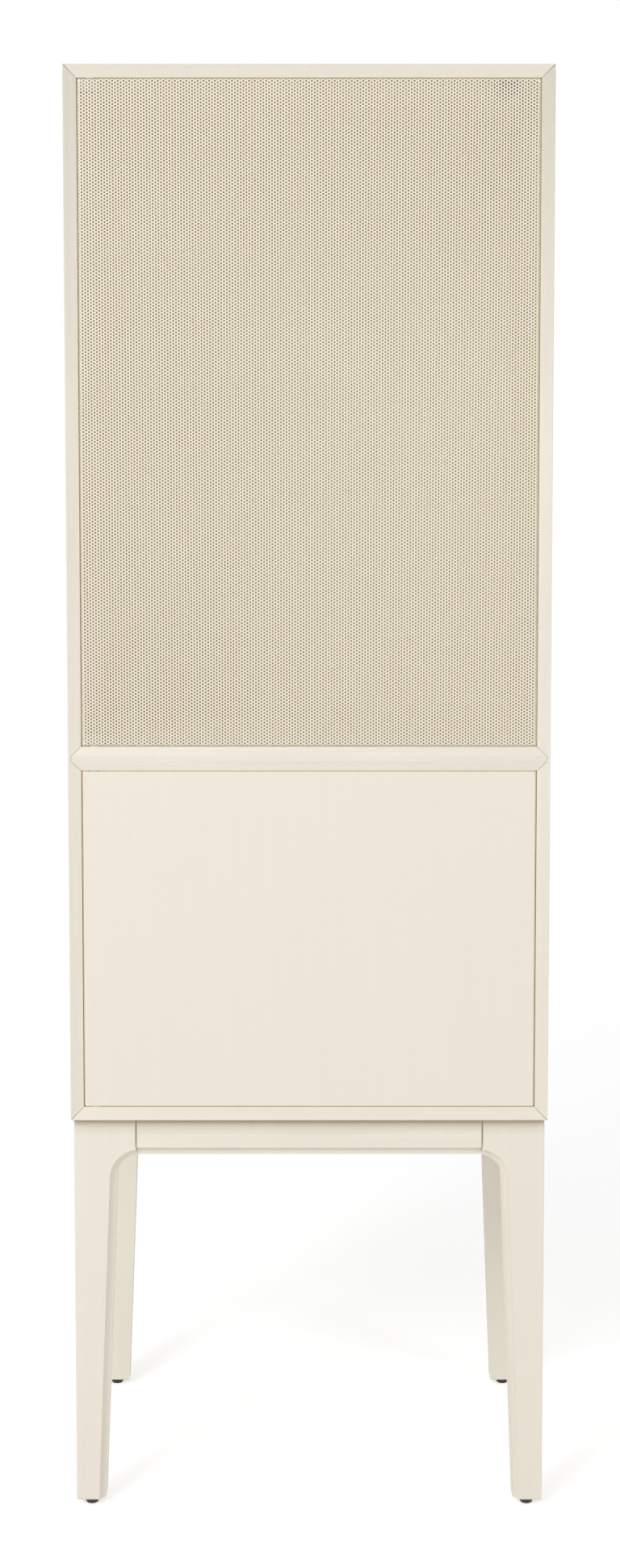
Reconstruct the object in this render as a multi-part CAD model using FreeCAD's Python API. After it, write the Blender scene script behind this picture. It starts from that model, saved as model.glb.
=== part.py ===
import FreeCAD, Part
import os
from math import atan2, cos, hypot, pi, radians, sin, sqrt

# Tall storage cabinet on a coved leg frame, in millimetres.
# X runs to the right, Y runs from the front to the rear and Z runs up.
# The origin is on the floor, below the middle of the cabinet.

V = FreeCAD.Vector
ORIGIN = V(0, 0, 0)
RIGHT = V(1, 0, 0)
BACK = V(0, 1, 0)
UP = V(0, 0, 1)

# Whole cabinet
cabinet_width = 600.0
cabinet_depth = 400.0
body_height = 1309.0
leg_length = 498.0
glide_height = 8.0

# Carcass panels, mitred at the corners
panel_thickness = 16.0
bevel_depth = 4.0
arris_radius = 1.0
mitre_groove_width = 0.6
mitre_groove_depth = 0.4
upper_opening_height = 820.0
spline_thickness = 4.0
spline_width = 12.0
spline_end_margin = 22.0

# Middle rail between the two doors
rail_nose_height = 6.0
rail_bevel_height = 12.0
rail_depth = 20.0
rail_end_depth = 8.0
rail_nose_radius = 1.5
rail_dowel_share = 2 / 3

# Divider board, back panel and lower shelf
divider_thickness = 16.0
back_thickness = 6.0
back_rebate_width = 8.0
back_clearance = 0.5
back_screw_shares = (1 / 6, 1 / 2, 5 / 6)
shelf_thickness = 16.0
shelf_side_clearance = 1.0
shelf_front_setback = 38.0
shelf_rear_clearance = 4.0
shelf_pin_radius = 2.5
shelf_pin_depth = 8.0
shelf_pin_reach = 7.0
shelf_hole_clearance = 0.05
shelf_hole_pitch = 32.0
shelf_hole_count = 3
shelf_pin_margin = 45.0

# Dowels and screws
dowel_radius = 4.0
dowel_length = 30.0
dowel_clearance = 0.05
divider_dowel_in_panel = 10.0
screw_radius = 1.75
screw_head_radius = 3.5
screw_head_height = 1.8
screw_point = 3.0
back_screw_length = 18.0
block_screw_length = 34.0
latch_screw_length = 13.0

# Doors
door_side_gap = 2.2
door_end_gap = 1.2
door_thickness = 18.0
door_arris_radius = 1.0
sheet_thickness = 1.0
sheet_bend_radius = 1.8
sheet_opening_columns = 6
sheet_opening_rows = 9
sheet_opening_share = 0.59
pivot_from_edge = 14.0
pivot_from_front = 7.0

# Pivot pins and their bushes
pivot_pin_radius = 3.0
pivot_pin_reach = 9.0
pivot_pin_in_wood = 26.0
pivot_running_clearance = 0.05
bush_radius = 5.0
bush_length = 9.5
bush_flange_radius = 6.5
bush_flange_thickness = 0.9
bush_seat_clearance = 0.05
pivot_block_width = 24.0
pivot_block_depth = 13.0
pivot_block_height = 14.0

# Push latches
latch_width = 16.0
latch_height = 14.0
latch_length = 58.0
latch_edge_chamfer = 2.0
latch_base_width = 34.0
latch_base_thickness = 2.5
latch_base_length = 24.0
latch_axis_drop = 8.0
latch_screw_spread = 12.0
latch_gap_to_door = 4.0
latch_from_side = 40.0
lower_latch_height_share = 0.76
plunger_radius = 4.5
plunger_length = 46.0
plunger_running_clearance = 0.1
plunger_tip_gap = 0.3
plunger_bore_spare = 6.0
plunger_tip_radius = 1.0
strike_thickness = 1.5
strike_width = 24.0
strike_height = 16.0
strike_foot = 8.0
lower_strike_width = 12.0
lower_strike_offset = 1.0
lower_strike_height = 40.0
lower_strike_screw_spread = 14.0
lower_strike_screw_length = 11.0

# Leg frame
frame_side_inset = 2.75
frame_recess = 9.0
leg_thickness = 30.0
shoulder_width = 78.5
waist_width = 54.6
foot_width = 37.0
arch_radius = 29.5
apron_height = 49.0
apron_thickness = 22.0
side_apron_inset = 3.0
leg_cove_radius = 8.3
apron_cove_height = 11.2
seam_groove = 1.2
leg_arris_radius = 1.5
foot_chamfer = 2.0
arch_segments = 6
upper_dowel_drop = 11.0
lower_dowel_drop = 28.0
corner_block_leg = 52.0
corner_block_height = 30.0
corner_bolt_offset = 16.0
corner_screw_offset = 33.0
corner_screw_bite = 15.0
bolt_radius = 3.0
bolt_clearance = 0.5
bolt_head_radius = 5.0
bolt_head_height = 4.0
bolt_end_margin = 1.0
insert_radius = 5.0
insert_length = 12.0
insert_thread_clearance = 0.05

# Foot glides
glide_radius = 9.0
glide_foot_radius = 8.0
glide_edge_radius = 1.5
glide_stem_radius = 2.5
glide_stem_length = 20.0

# Small round pieces that repeat have this many flat sides
peg_sides = 8
screw_sides = 6
bush_sides = 8
plunger_sides = 12
glide_sides = 16

# Every cutter runs past the faces that it opens by this much
overrun = 2.0

# Places worked out from the sizes above
half_width = cabinet_width / 2
front_y = -cabinet_depth / 2
rear_y = cabinet_depth / 2
body_bottom_z = glide_height + leg_length
body_top_z = body_bottom_z + body_height
inner_half_width = half_width - panel_thickness
inner_bottom_z = body_bottom_z + panel_thickness
inner_top_z = body_top_z - panel_thickness
door_front_y = front_y + bevel_depth
door_back_y = door_front_y + door_thickness
back_front_y = rear_y - back_thickness
bevel_slope = bevel_depth / (panel_thickness - arris_radius)
rail_height = rail_nose_height + 2 * rail_bevel_height
rail_top_z = inner_top_z - upper_opening_height
rail_bottom_z = rail_top_z - rail_height
rail_nose_y = door_front_y - rail_bevel_height * bevel_slope
rail_back_y = door_front_y + rail_depth
divider_bottom_z = rail_top_z - divider_thickness
door_half_width = inner_half_width - door_side_gap
upper_door_bottom_z = rail_top_z + door_end_gap
upper_door_top_z = inner_top_z - door_end_gap
lower_door_bottom_z = inner_bottom_z + door_end_gap
lower_door_top_z = rail_bottom_z - door_end_gap
pivot_x = -door_half_width + pivot_from_edge
pivot_y = door_front_y + pivot_from_front
leg_outer_x = -half_width + frame_side_inset
leg_front_y = front_y + frame_recess
leg_back_y = leg_front_y + leg_thickness
seam_x = leg_outer_x + shoulder_width
foot_z = glide_height
latch_x = inner_half_width - latch_from_side
lower_latch_z = inner_bottom_z + (rail_bottom_z - inner_bottom_z) * lower_latch_height_share
upper_latch_place = V(latch_x, door_back_y, inner_top_z)
lower_latch_place = V(inner_half_width, door_back_y + strike_thickness, lower_latch_z)


def block(x_ends, y_ends, z_ends):
    """A rectangular solid between two values on each axis."""
    corner = V(x_ends[0], y_ends[0], z_ends[0])
    size = V(x_ends[1], y_ends[1], z_ends[1]) - corner
    return Part.makeBox(size.x, size.y, size.z, corner)


def prism(points, travel):
    """A flat outline pushed along a vector."""
    outline = Part.makePolygon(points + points[:1])
    return Part.Face(outline).extrude(travel)


def rod(radius, start, end):
    """A round rod between two points."""
    run = end - start
    return Part.makeCylinder(radius, run.Length, start, run)


def faceted(outline, base, direction, sides):
    """A turned form with flat sides, from (radius, distance along the axis) pairs."""
    rings = []
    for radius, along in outline:
        turns = [2 * pi * index / sides for index in range(sides)]
        rings.append([V(radius * cos(turn), radius * sin(turn), along) for turn in turns])
    faces = [flat_face(rings[0]), flat_face(rings[-1])]
    for low, high in zip(rings, rings[1:]):
        for index in range(sides):
            faces.append(flat_face([low[index - 1], low[index], high[index], high[index - 1]]))
    solid = Part.Solid(Part.Shell([face for face in faces if face]))
    if solid.Volume < 0:
        solid.reverse()
    solid.Placement = FreeCAD.Placement(base, FreeCAD.Rotation(UP, direction))
    return solid


def flat_face(points):
    """A face through the points, or nothing where they have run together."""
    corners = [point for index, point in enumerate(points) if (point - points[index - 1]).Length > 0]
    if len(corners) < 3:
        return None
    return Part.Face(Part.makePolygon(corners + corners[:1]))


def peg(radius, start, end, sides=peg_sides):
    """A flat-sided peg between two points."""
    run = end - start
    return faceted([(radius, 0), (radius, run.Length)], start, run, sides)


def rounded(shape, radius, test):
    """The shape with a fillet on each edge that passes the test."""
    edges = [edge for edge in shape.Edges if test(edge)]
    return shape.makeFillet(radius, edges)


def chamfered(shape, width, test):
    """The shape with a chamfer on each edge that passes the test."""
    edges = [edge for edge in shape.Edges if test(edge)]
    return shape.makeChamfer(width, edges)


def runs_along(edge, axis):
    """True for an edge whose two ends differ along one axis only."""
    run = edge.Vertexes[-1].Point - edge.Vertexes[0].Point
    return run.Length > 0 and abs(run.normalize().dot(axis)) > cos(radians(1))


def mirrored(shape, axis):
    """The shape reflected in the plane through the origin across an axis."""
    return shape.mirror(ORIGIN, axis)


def cut_all(shape, cutters):
    """The shape with every cutter taken away, also where cutters meet."""
    return shape.cut(cutters).removeSplitter()


def wood_screw(head, direction, length):
    """A countersunk wood screw, from the middle of its flat head."""
    outline = [
        (screw_head_radius, 0),
        (screw_radius, screw_head_height),
        (screw_radius, length - screw_point),
        (0, length),
    ]
    return faceted(outline, head, direction, screw_sides)


def dowel(middle, direction, radius=dowel_radius):
    """A dowel, centred on the glue line that it crosses."""
    half = V(direction).multiply(dowel_length / 2)
    return peg(radius, middle - half, middle + half)


# Carcass


def carcass_ring():
    """The four panels as one ring, with the sloped front and the rear rebate."""
    outer = block((-half_width, half_width), (front_y, rear_y), (body_bottom_z, body_top_z))
    outer = chamfered(outer, arris_radius, lambda edge: edge.CenterOfMass.y > front_y + overrun)
    outer = rounded(outer, arris_radius, lambda edge: edge.BoundBox.YMax < front_y + overrun)
    hollow = block(
        (-inner_half_width, inner_half_width),
        (front_y - overrun, rear_y + overrun),
        (inner_bottom_z, inner_top_z),
    )
    rebate = block(
        (-inner_half_width - back_rebate_width, inner_half_width + back_rebate_width),
        (back_front_y, rear_y + overrun),
        (inner_bottom_z - back_rebate_width, inner_top_z + back_rebate_width),
    )
    return cut_all(outer, [hollow, rebate, front_slope()] + mitre_grooves())


def front_slope():
    """The shallow funnel that slopes the front edges down to the doors."""
    loops = []
    for y in (front_y - overrun, door_front_y):
        spread = (door_front_y - y) / bevel_slope
        x = inner_half_width + spread
        low = inner_bottom_z - spread
        high = inner_top_z + spread
        corners = [V(-x, y, low), V(x, y, low), V(x, y, high), V(-x, y, high)]
        loops.append(Part.makePolygon(corners + corners[:1]))
    return Part.makeLoft(loops, True, True)


def fine_groove(start, end, facing):
    """A fine V cut along a joint line, open towards the way that the face looks."""
    run = (end - start).normalize()
    across = run.cross(facing).normalize()
    out = across.cross(run)
    if out.dot(facing) < 0:
        out = out.multiply(-1)
    rise = overrun / mitre_groove_depth
    half = V(across).multiply(mitre_groove_width / 2 * (1 + rise))
    high = V(out).multiply(overrun)
    low = V(out).multiply(-mitre_groove_depth)
    return prism([start + high - half, start + high + half, start + low], end - start)


def mitre_grooves():
    """The fine lines where the four panels meet on the sloped front."""
    inner = V(-inner_half_width, door_front_y, inner_top_z)
    outer = V(-half_width, front_y, body_top_z)
    step = (outer - inner).multiply(overrun / panel_thickness)
    upper = fine_groove(inner - step, outer + step, V(0, -1, 0))
    inner = V(-inner_half_width, door_front_y, inner_bottom_z)
    outer = V(-half_width, front_y, body_bottom_z)
    step = (outer - inner).multiply(overrun / panel_thickness)
    lower = fine_groove(inner - step, outer + step, V(0, -1, 0))
    return [upper, mirrored(upper, RIGHT), lower, mirrored(lower, RIGHT)]


def mitre_sector(side):
    """The part of the carcass that one panel fills, bounded by its mitres."""
    inner = inner_half_width
    outer = half_width + overrun
    low = body_bottom_z - overrun
    high = body_top_z + overrun
    y = front_y - overrun
    if side == "left":
        points = [(-outer, low), (-inner, inner_bottom_z), (-inner, inner_top_z), (-outer, high)]
    elif side == "top":
        points = [(-outer, high), (-inner, inner_top_z), (inner, inner_top_z), (outer, high)]
    else:
        points = [(-outer, low), (-inner, inner_bottom_z), (inner, inner_bottom_z), (outer, low)]
    return prism([V(x, y, z) for x, z in points], V(0, cabinet_depth + 2 * overrun, 0))


def corner_spline(x, z, lean):
    """A plywood tongue across the mitre of one corner."""
    half_length = cabinet_depth / 2 - spline_end_margin
    tongue = block(
        (-spline_width / 2, spline_width / 2),
        (-half_length, half_length),
        (-spline_thickness / 2, spline_thickness / 2),
    )
    tongue.rotate(ORIGIN, BACK, lean)
    tongue.translate(V(x, 0, z))
    return tongue


def corner_splines():
    """The tongues of the four mitres, each square to its mitre."""
    x = half_width - panel_thickness / 2
    low = body_bottom_z + panel_thickness / 2
    high = body_top_z - panel_thickness / 2
    return [
        corner_spline(-x, low, 45),
        corner_spline(x, low, -45),
        corner_spline(-x, high, -45),
        corner_spline(x, high, 45),
    ]


def middle_rail():
    """The rail with its raised nose and its ends scribed into the side panels."""
    tip = inner_half_width + rail_bevel_height
    low_nose = rail_bottom_z + rail_bevel_height
    high_nose = rail_top_z - rail_bevel_height
    section = [
        V(-tip, rail_back_y, rail_bottom_z),
        V(-tip, door_front_y, rail_bottom_z),
        V(-tip, rail_nose_y, low_nose),
        V(-tip, rail_nose_y, high_nose),
        V(-tip, door_front_y, rail_top_z),
        V(-tip, rail_back_y, rail_top_z),
    ]
    bar = prism(section, V(2 * tip, 0, 0))
    bar = rounded(bar, rail_nose_radius, is_nose_edge)
    y = rail_nose_y - overrun
    ends = [
        V(-tip, y, low_nose),
        V(-inner_half_width, y, rail_bottom_z),
        V(inner_half_width, y, rail_bottom_z),
        V(tip, y, low_nose),
        V(tip, y, high_nose),
        V(inner_half_width, y, rail_top_z),
        V(-inner_half_width, y, rail_top_z),
        V(-tip, y, high_nose),
    ]
    scribed = prism(ends, V(0, door_front_y + rail_end_depth - y, 0))
    middle = block(
        (-inner_half_width, inner_half_width),
        (y, rail_back_y),
        (rail_bottom_z, rail_top_z),
    )
    return bar.common(scribed.fuse(middle)).removeSplitter()


def rail_end_grooves():
    """The fine lines where the rail's scribed ends meet the side panels."""
    low_nose = rail_bottom_z + rail_bevel_height
    high_nose = rail_top_z - rail_bevel_height
    tip = inner_half_width + rail_bevel_height
    outline = [
        V(-inner_half_width, door_front_y, rail_top_z),
        V(-tip, rail_nose_y, high_nose),
        V(-tip, rail_nose_y, low_nose),
        V(-inner_half_width, door_front_y, rail_bottom_z),
    ]
    lines = [fine_groove(*ends, V(0, -1, 0)) for ends in zip(outline, outline[1:])]
    return lines + [mirrored(line, RIGHT) for line in lines]


def is_nose_edge(edge):
    """True for the two long edges of the rail's nose."""
    middle = edge.CenterOfMass
    return runs_along(edge, RIGHT) and middle.y < (rail_nose_y + door_front_y) / 2


def divider_dowels(radius=dowel_radius):
    """Three dowels from each side panel into the divider board."""
    z = rail_top_z - divider_thickness / 2
    middle_y = (rail_back_y + back_front_y) / 2
    spread = (back_front_y - rail_back_y) / 3
    pins = []
    for y in (middle_y - spread, middle_y, middle_y + spread):
        outer = V(-inner_half_width - divider_dowel_in_panel, y, z)
        pin = peg(radius, outer, outer + V(dowel_length, 0, 0))
        pins += [pin, mirrored(pin, RIGHT)]
    return pins


def rail_dowels(radius=dowel_radius):
    """Dowels from the divider board into the back of the middle rail."""
    z = rail_top_z - divider_thickness / 2
    pins = []
    spread = inner_half_width * rail_dowel_share
    for x in (-spread, 0, spread):
        start = V(x, rail_back_y - rail_depth / 2, z)
        pins.append(peg(radius, start, start + V(0, dowel_length, 0)))
    return pins


def divider_board():
    """The board that closes the two compartments from each other."""
    board = block(
        (-inner_half_width, inner_half_width),
        (rail_back_y, back_front_y),
        (divider_bottom_z, rail_top_z),
    )
    wide = dowel_radius + dowel_clearance
    return cut_all(board, divider_dowels(wide) + rail_dowels(wide))


def shelf_hole_places():
    """The depths and heights of the holes for the shelf pins."""
    front = front_y + shelf_front_setback + shelf_pin_margin
    rear = back_front_y - shelf_rear_clearance - shelf_pin_margin
    middle = (inner_bottom_z + divider_bottom_z) / 2
    lowest = middle - shelf_hole_pitch * (shelf_hole_count - 1) / 2
    heights = [lowest + shelf_hole_pitch * index for index in range(shelf_hole_count)]
    return front, rear, heights


def shelf_holes():
    """The rows of holes in the left panel that the shelf pins fit."""
    front, rear, heights = shelf_hole_places()
    radius = shelf_pin_radius + shelf_hole_clearance
    depth = V(shelf_pin_depth + shelf_hole_clearance, 0, 0)
    mouths = [V(-inner_half_width, y, z) for y in (front, rear) for z in heights]
    return [peg(radius, mouth - depth, mouth + V(overrun, 0, 0)) for mouth in mouths]


def shelf_pins():
    """The four pins under the lower shelf, in the middle holes."""
    front, rear, heights = shelf_hole_places()
    z = heights[shelf_hole_count // 2]
    pins = []
    for y in (front, rear):
        mouth = V(-inner_half_width, y, z)
        pin = peg(shelf_pin_radius, mouth - V(shelf_pin_depth, 0, 0), mouth + V(shelf_pin_reach, 0, 0))
        pins += [pin, mirrored(pin, RIGHT)]
    return pins


def lower_shelf():
    """The shelf behind the lower door, lying on its four pins."""
    front, rear, heights = shelf_hole_places()
    bottom = heights[shelf_hole_count // 2] + shelf_pin_radius
    half = inner_half_width - shelf_side_clearance
    board = block(
        (-half, half),
        (front_y + shelf_front_setback, back_front_y - shelf_rear_clearance),
        (bottom, bottom + shelf_thickness),
    )
    return rounded(board, arris_radius, is_front_shelf_edge)


def is_front_shelf_edge(edge):
    """True for the two long front edges of the shelf."""
    return runs_along(edge, RIGHT) and edge.CenterOfMass.y < 0


def back_panel_blank():
    """The back panel in its rebate, before its screws go through."""
    beyond = back_rebate_width - back_clearance
    return block(
        (-inner_half_width - beyond, inner_half_width + beyond),
        (back_front_y, rear_y),
        (inner_bottom_z - beyond, inner_top_z + beyond),
    )


def back_screws():
    """Screws through the back panel into the carcass and the divider board."""
    x = inner_half_width + back_rebate_width / 2
    low = inner_bottom_z - back_rebate_width / 2
    high = inner_top_z + back_rebate_width / 2
    divider_z = rail_top_z - divider_thickness / 2
    heads = []
    for z in (low, high, divider_z):
        heads += [V(-x / 2, rear_y, z), V(x / 2, rear_y, z)]
    for share in back_screw_shares:
        z = low + (high - low) * share
        heads += [V(-x, rear_y, z), V(x, rear_y, z)]
    return [wood_screw(head, V(0, -1, 0), back_screw_length) for head in heads]


# Pivots of the two doors


def pivot_seats():
    """Where the four pivot bushes sit, each with the way that it faces."""
    return [
        (V(pivot_x, pivot_y, inner_top_z), V(0, 0, -1)),
        (V(pivot_x, pivot_y, rail_top_z), V(0, 0, 1)),
        (V(pivot_x, pivot_y, rail_bottom_z), V(0, 0, -1)),
        (V(pivot_x, pivot_y, inner_bottom_z), V(0, 0, 1)),
    ]


def pivot_bush(seat, facing):
    """A flanged bush let into the wood, its flange towards the door."""
    outline = [
        (bush_radius, -bush_length),
        (bush_radius, 0),
        (bush_flange_radius, 0),
        (bush_flange_radius, bush_flange_thickness),
    ]
    sleeve = faceted(outline, seat, facing, bush_sides)
    deep = V(facing).multiply(bush_length + overrun)
    proud = V(facing).multiply(overrun)
    return sleeve.cut(rod(pivot_pin_radius + pivot_running_clearance, seat - deep, seat + proud))


def bush_seat(seat, facing):
    """The hole that takes one bush."""
    deep = V(facing).multiply(bush_length)
    proud = V(facing).multiply(overrun)
    return peg(bush_radius + bush_seat_clearance, seat - deep, seat + proud, bush_sides)


def pivot_pin(seat, facing, length_in_door):
    """A pin fixed in the edge of a door, reaching into its bush."""
    tip = seat - V(facing).multiply(pivot_pin_reach - door_end_gap)
    root = seat + V(facing).multiply(door_end_gap + length_in_door)
    return rod(pivot_pin_radius, root, tip)


# Doors


def mesh_door_sheet():
    """The upper door: one sheet folded back on all four sides."""
    outer = block(
        (-door_half_width, door_half_width),
        (door_front_y, door_back_y),
        (upper_door_bottom_z, upper_door_top_z),
    )
    outer = rounded(outer, sheet_bend_radius, is_front_door_edge)
    inner = block(
        (-door_half_width + sheet_thickness, door_half_width - sheet_thickness),
        (door_front_y + sheet_thickness, door_back_y + overrun),
        (upper_door_bottom_z + sheet_thickness, upper_door_top_z - sheet_thickness),
    )
    return cut_all(outer, [inner] + mesh_door_pins() + sheet_openings())


def sheet_openings():
    """A plain grid of openings, which stands for the fine perforation of the sheet."""
    wide = 2 * door_half_width / sheet_opening_columns
    high = (upper_door_top_z - upper_door_bottom_z) / sheet_opening_rows
    margin_share = (1 - sheet_opening_share) / 2
    openings = []
    for column in range(sheet_opening_columns):
        left = -door_half_width + wide * (column + margin_share)
        for row in range(sheet_opening_rows):
            low = upper_door_bottom_z + high * (row + margin_share)
            openings.append(block(
                (left, left + wide * sheet_opening_share),
                (door_front_y - overrun, door_front_y + sheet_thickness + overrun),
                (low, low + high * sheet_opening_share),
            ))
    return openings


def is_front_door_edge(edge):
    """True for the edges round the front face of a door."""
    return edge.BoundBox.YMax < door_front_y + door_thickness / 2


def is_rear_door_edge(edge):
    """True for the edges round the rear face of a door."""
    return edge.BoundBox.YMin > door_back_y - door_thickness / 2


def mesh_door_pins():
    """The two pivot pins of the upper door, through its folded edges."""
    top, bottom = pivot_seats()[:2]
    length = sheet_thickness + pivot_block_height
    return [pivot_pin(*top, length), pivot_pin(*bottom, length)]


def pivot_blocks():
    """Blocks inside the folded corners, which carry the pivot pins."""
    x_ends = (
        -door_half_width + sheet_thickness,
        -door_half_width + sheet_thickness + pivot_block_width,
    )
    y_ends = (door_front_y + sheet_thickness, door_front_y + sheet_thickness + pivot_block_depth)
    low = upper_door_bottom_z + sheet_thickness
    high = upper_door_top_z - sheet_thickness
    blocks = []
    for z_ends in ((low, low + pivot_block_height), (high - pivot_block_height, high)):
        blocks.append(cut_all(block(x_ends, y_ends, z_ends), mesh_door_pins()))
    return blocks


def mesh_door_strike():
    """The angle under the top fold that the upper plunger holds."""
    top = upper_door_top_z - sheet_thickness
    start = latch_x - strike_width / 2
    section = [
        V(start, door_back_y, top),
        V(start, door_back_y, top - strike_height),
        V(start, door_back_y - strike_thickness, top - strike_height),
        V(start, door_back_y - strike_thickness, top - strike_thickness),
        V(start, door_back_y - strike_foot, top - strike_thickness),
        V(start, door_back_y - strike_foot, top),
    ]
    return prism(section, V(strike_width, 0, 0))


def lower_door_panel():
    """The solid lower door with its eased edges."""
    panel = block(
        (-door_half_width, door_half_width),
        (door_front_y, door_back_y),
        (lower_door_bottom_z, lower_door_top_z),
    )
    panel = rounded(panel, door_arris_radius, is_front_door_edge)
    panel = chamfered(panel, door_arris_radius, is_rear_door_edge)
    return cut_all(panel, lower_door_pins() + lower_strike_screws())


def lower_door_pins():
    """The two pivot pins of the lower door."""
    top, bottom = pivot_seats()[2:]
    return [pivot_pin(*top, pivot_pin_in_wood), pivot_pin(*bottom, pivot_pin_in_wood)]


# Push latches


def placed(shape, place, turn):
    """A latch piece, made under a shelf at the origin, at its real place."""
    shape = shape.copy()
    shape.rotate(ORIGIN, BACK, turn)
    shape.translate(place)
    return shape


def latch_axis_point(y):
    """A point on the plunger's axis, in the latch's own place."""
    return V(0, y, -latch_axis_drop)


def latch_housing():
    """The moulded housing with its screw plate and its plunger bore."""
    start = latch_gap_to_door
    body = block(
        (-latch_width / 2, latch_width / 2),
        (start, start + latch_length),
        (-latch_base_thickness - latch_height, -latch_base_thickness),
    )
    body = chamfered(body, latch_edge_chamfer, is_low_latch_edge)
    middle = start + latch_length / 2
    base = block(
        (-latch_base_width / 2, latch_base_width / 2),
        (middle - latch_base_length / 2, middle + latch_base_length / 2),
        (-latch_base_thickness, 0),
    )
    spine = block(
        (-latch_width / 2, latch_width / 2),
        (start, start + latch_length),
        (-latch_base_thickness, 0),
    )
    bore_end = plunger_tip_gap + plunger_length + plunger_bore_spare
    bore = peg(
        plunger_radius + plunger_running_clearance,
        latch_axis_point(start - overrun),
        latch_axis_point(bore_end),
        plunger_sides,
    )
    whole = body.fuse([base, spine]).removeSplitter()
    return cut_all(whole, [bore] + latch_screws())


def is_low_latch_edge(edge):
    """True for the two long edges of a housing away from its board."""
    return runs_along(edge, BACK) and edge.CenterOfMass.z < -latch_base_thickness - latch_height / 2


def latch_screws():
    """The two screws that hold a latch to the board above it."""
    y = latch_gap_to_door + latch_length / 2
    heads = [V(x, y, -latch_base_thickness) for x in (-latch_screw_spread, latch_screw_spread)]
    return [wood_screw(head, UP, latch_screw_length) for head in heads]


def latch_plunger():
    """The sprung plunger with its bevelled magnet tip."""
    outline = [
        (plunger_radius - plunger_tip_radius, 0),
        (plunger_radius, plunger_tip_radius),
        (plunger_radius, plunger_length),
    ]
    return faceted(outline, latch_axis_point(plunger_tip_gap), BACK, plunger_sides)


def lower_strike_plate():
    """The plate on the back of the lower door that its plunger holds."""
    x = inner_half_width - latch_axis_drop - lower_strike_offset
    plate = block(
        (x - lower_strike_width / 2, x + lower_strike_width / 2),
        (door_back_y, door_back_y + strike_thickness),
        (lower_latch_z - lower_strike_height / 2, lower_latch_z + lower_strike_height / 2),
    )
    plate = chamfered(plate, latch_edge_chamfer, lambda edge: runs_along(edge, BACK))
    return cut_all(plate, lower_strike_screws())


def lower_strike_screws():
    """The two screws of the strike plate."""
    x = inner_half_width - latch_axis_drop - lower_strike_offset
    y = door_back_y + strike_thickness
    heights = (lower_latch_z - lower_strike_screw_spread, lower_latch_z + lower_strike_screw_spread)
    return [wood_screw(V(x, y, z), V(0, -1, 0), lower_strike_screw_length) for z in heights]


# Leg frame


def leg_curve():
    """The arch that joins the tapered inner edge of a leg to the apron.

    Widths run inwards from the leg's outer face and drops run down from its top.
    The circle touches the taper line and passes through the foot of the seam.
    """
    fall = leg_length - apron_height
    slant = hypot(waist_width - foot_width, fall)
    along = ((foot_width - waist_width) / slant, fall / slant)
    across = (along[1], -along[0])
    gap = (
        waist_width + arch_radius * across[0] - shoulder_width,
        arch_radius * across[1],
    )
    lean = gap[0] * along[0] + gap[1] * along[1]
    travel = -lean + sqrt(lean ** 2 - gap[0] ** 2 - gap[1] ** 2 + arch_radius ** 2)
    touch = (waist_width + travel * along[0], apron_height + travel * along[1])
    centre = (touch[0] + arch_radius * across[0], touch[1] + arch_radius * across[1])
    return touch, centre, along


def leg_point(width, drop, y):
    """A point of the front left leg from its width and drop."""
    return V(leg_outer_x + width, y, body_bottom_z - drop)


def leg_blank():
    """The leg's outline, cut from a thick plank, with its outer edges eased."""
    touch, centre, along = leg_curve()
    y = leg_front_y
    seam = leg_point(shoulder_width, apron_height, y)
    tangent = leg_point(touch[0], touch[1], y)
    half_turn = leg_point((shoulder_width + touch[0]) / 2, (apron_height + touch[1]) / 2, y)
    middle = leg_point(centre[0], centre[1], y)
    bow = middle + (half_turn - middle).normalize().multiply(arch_radius)
    top_outer = leg_point(0, 0, y)
    foot_outer = leg_point(0, leg_length, y)
    foot_inner = leg_point(foot_width, leg_length, y)
    top_inner = leg_point(shoulder_width, 0, y)
    outline = Part.Wire([
        Part.makeLine(top_outer, foot_outer),
        Part.makeLine(foot_outer, foot_inner),
        Part.makeLine(foot_inner, tangent),
        Part.Arc(tangent, bow, seam).toShape(),
        Part.makeLine(seam, top_inner),
        Part.makeLine(top_inner, top_outer),
    ])
    leg = Part.Face(outline).extrude(V(0, leg_thickness, 0))
    leg = chamfered(leg, foot_chamfer, lambda edge: edge.BoundBox.ZMax < foot_z + leg_arris_radius)
    return rounded(leg, leg_arris_radius, is_outer_leg_edge)


def is_outer_leg_edge(edge):
    """True for the two upright edges at the leg's outer face."""
    return runs_along(edge, UP) and abs(edge.CenterOfMass.x - leg_outer_x) < leg_arris_radius


def arch_points():
    """Points along the arch, from the taper line to the foot of the seam."""
    touch, centre, along = leg_curve()
    start = atan2(touch[1] - centre[1], touch[0] - centre[0])
    end = atan2(apron_height - centre[1], shoulder_width - centre[0])
    sweep = (end - start) % (2 * pi)
    turns = [start + sweep * index / arch_segments for index in range(arch_segments + 1)]
    arch = [(centre[0] + arch_radius * cos(turn), centre[1] + arch_radius * sin(turn)) for turn in turns]
    return [leg_point(width, drop, leg_front_y) for width, drop in arch]


def leg_cove():
    """The round hollow along the inner front edge of the leg and its arch."""
    points = arch_points()
    foot = leg_point(foot_width, leg_length, leg_front_y)
    beyond = foot + (foot - points[0]).normalize().multiply(overrun)
    last_step = (points[-1] - points[-2]).normalize().multiply(overrun)
    points = [beyond] + points + [points[-1] + last_step]
    return [cove_length(start, end) for start, end in zip(points, points[1:])]


def cove_length(start, end):
    """One straight length of the hollow, with a ball's worth of overlap at its far end."""
    run = (end - start).normalize().multiply(leg_cove_radius * sin(pi / (4 * arch_segments)))
    return rod(leg_cove_radius, start, end + run)


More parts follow.
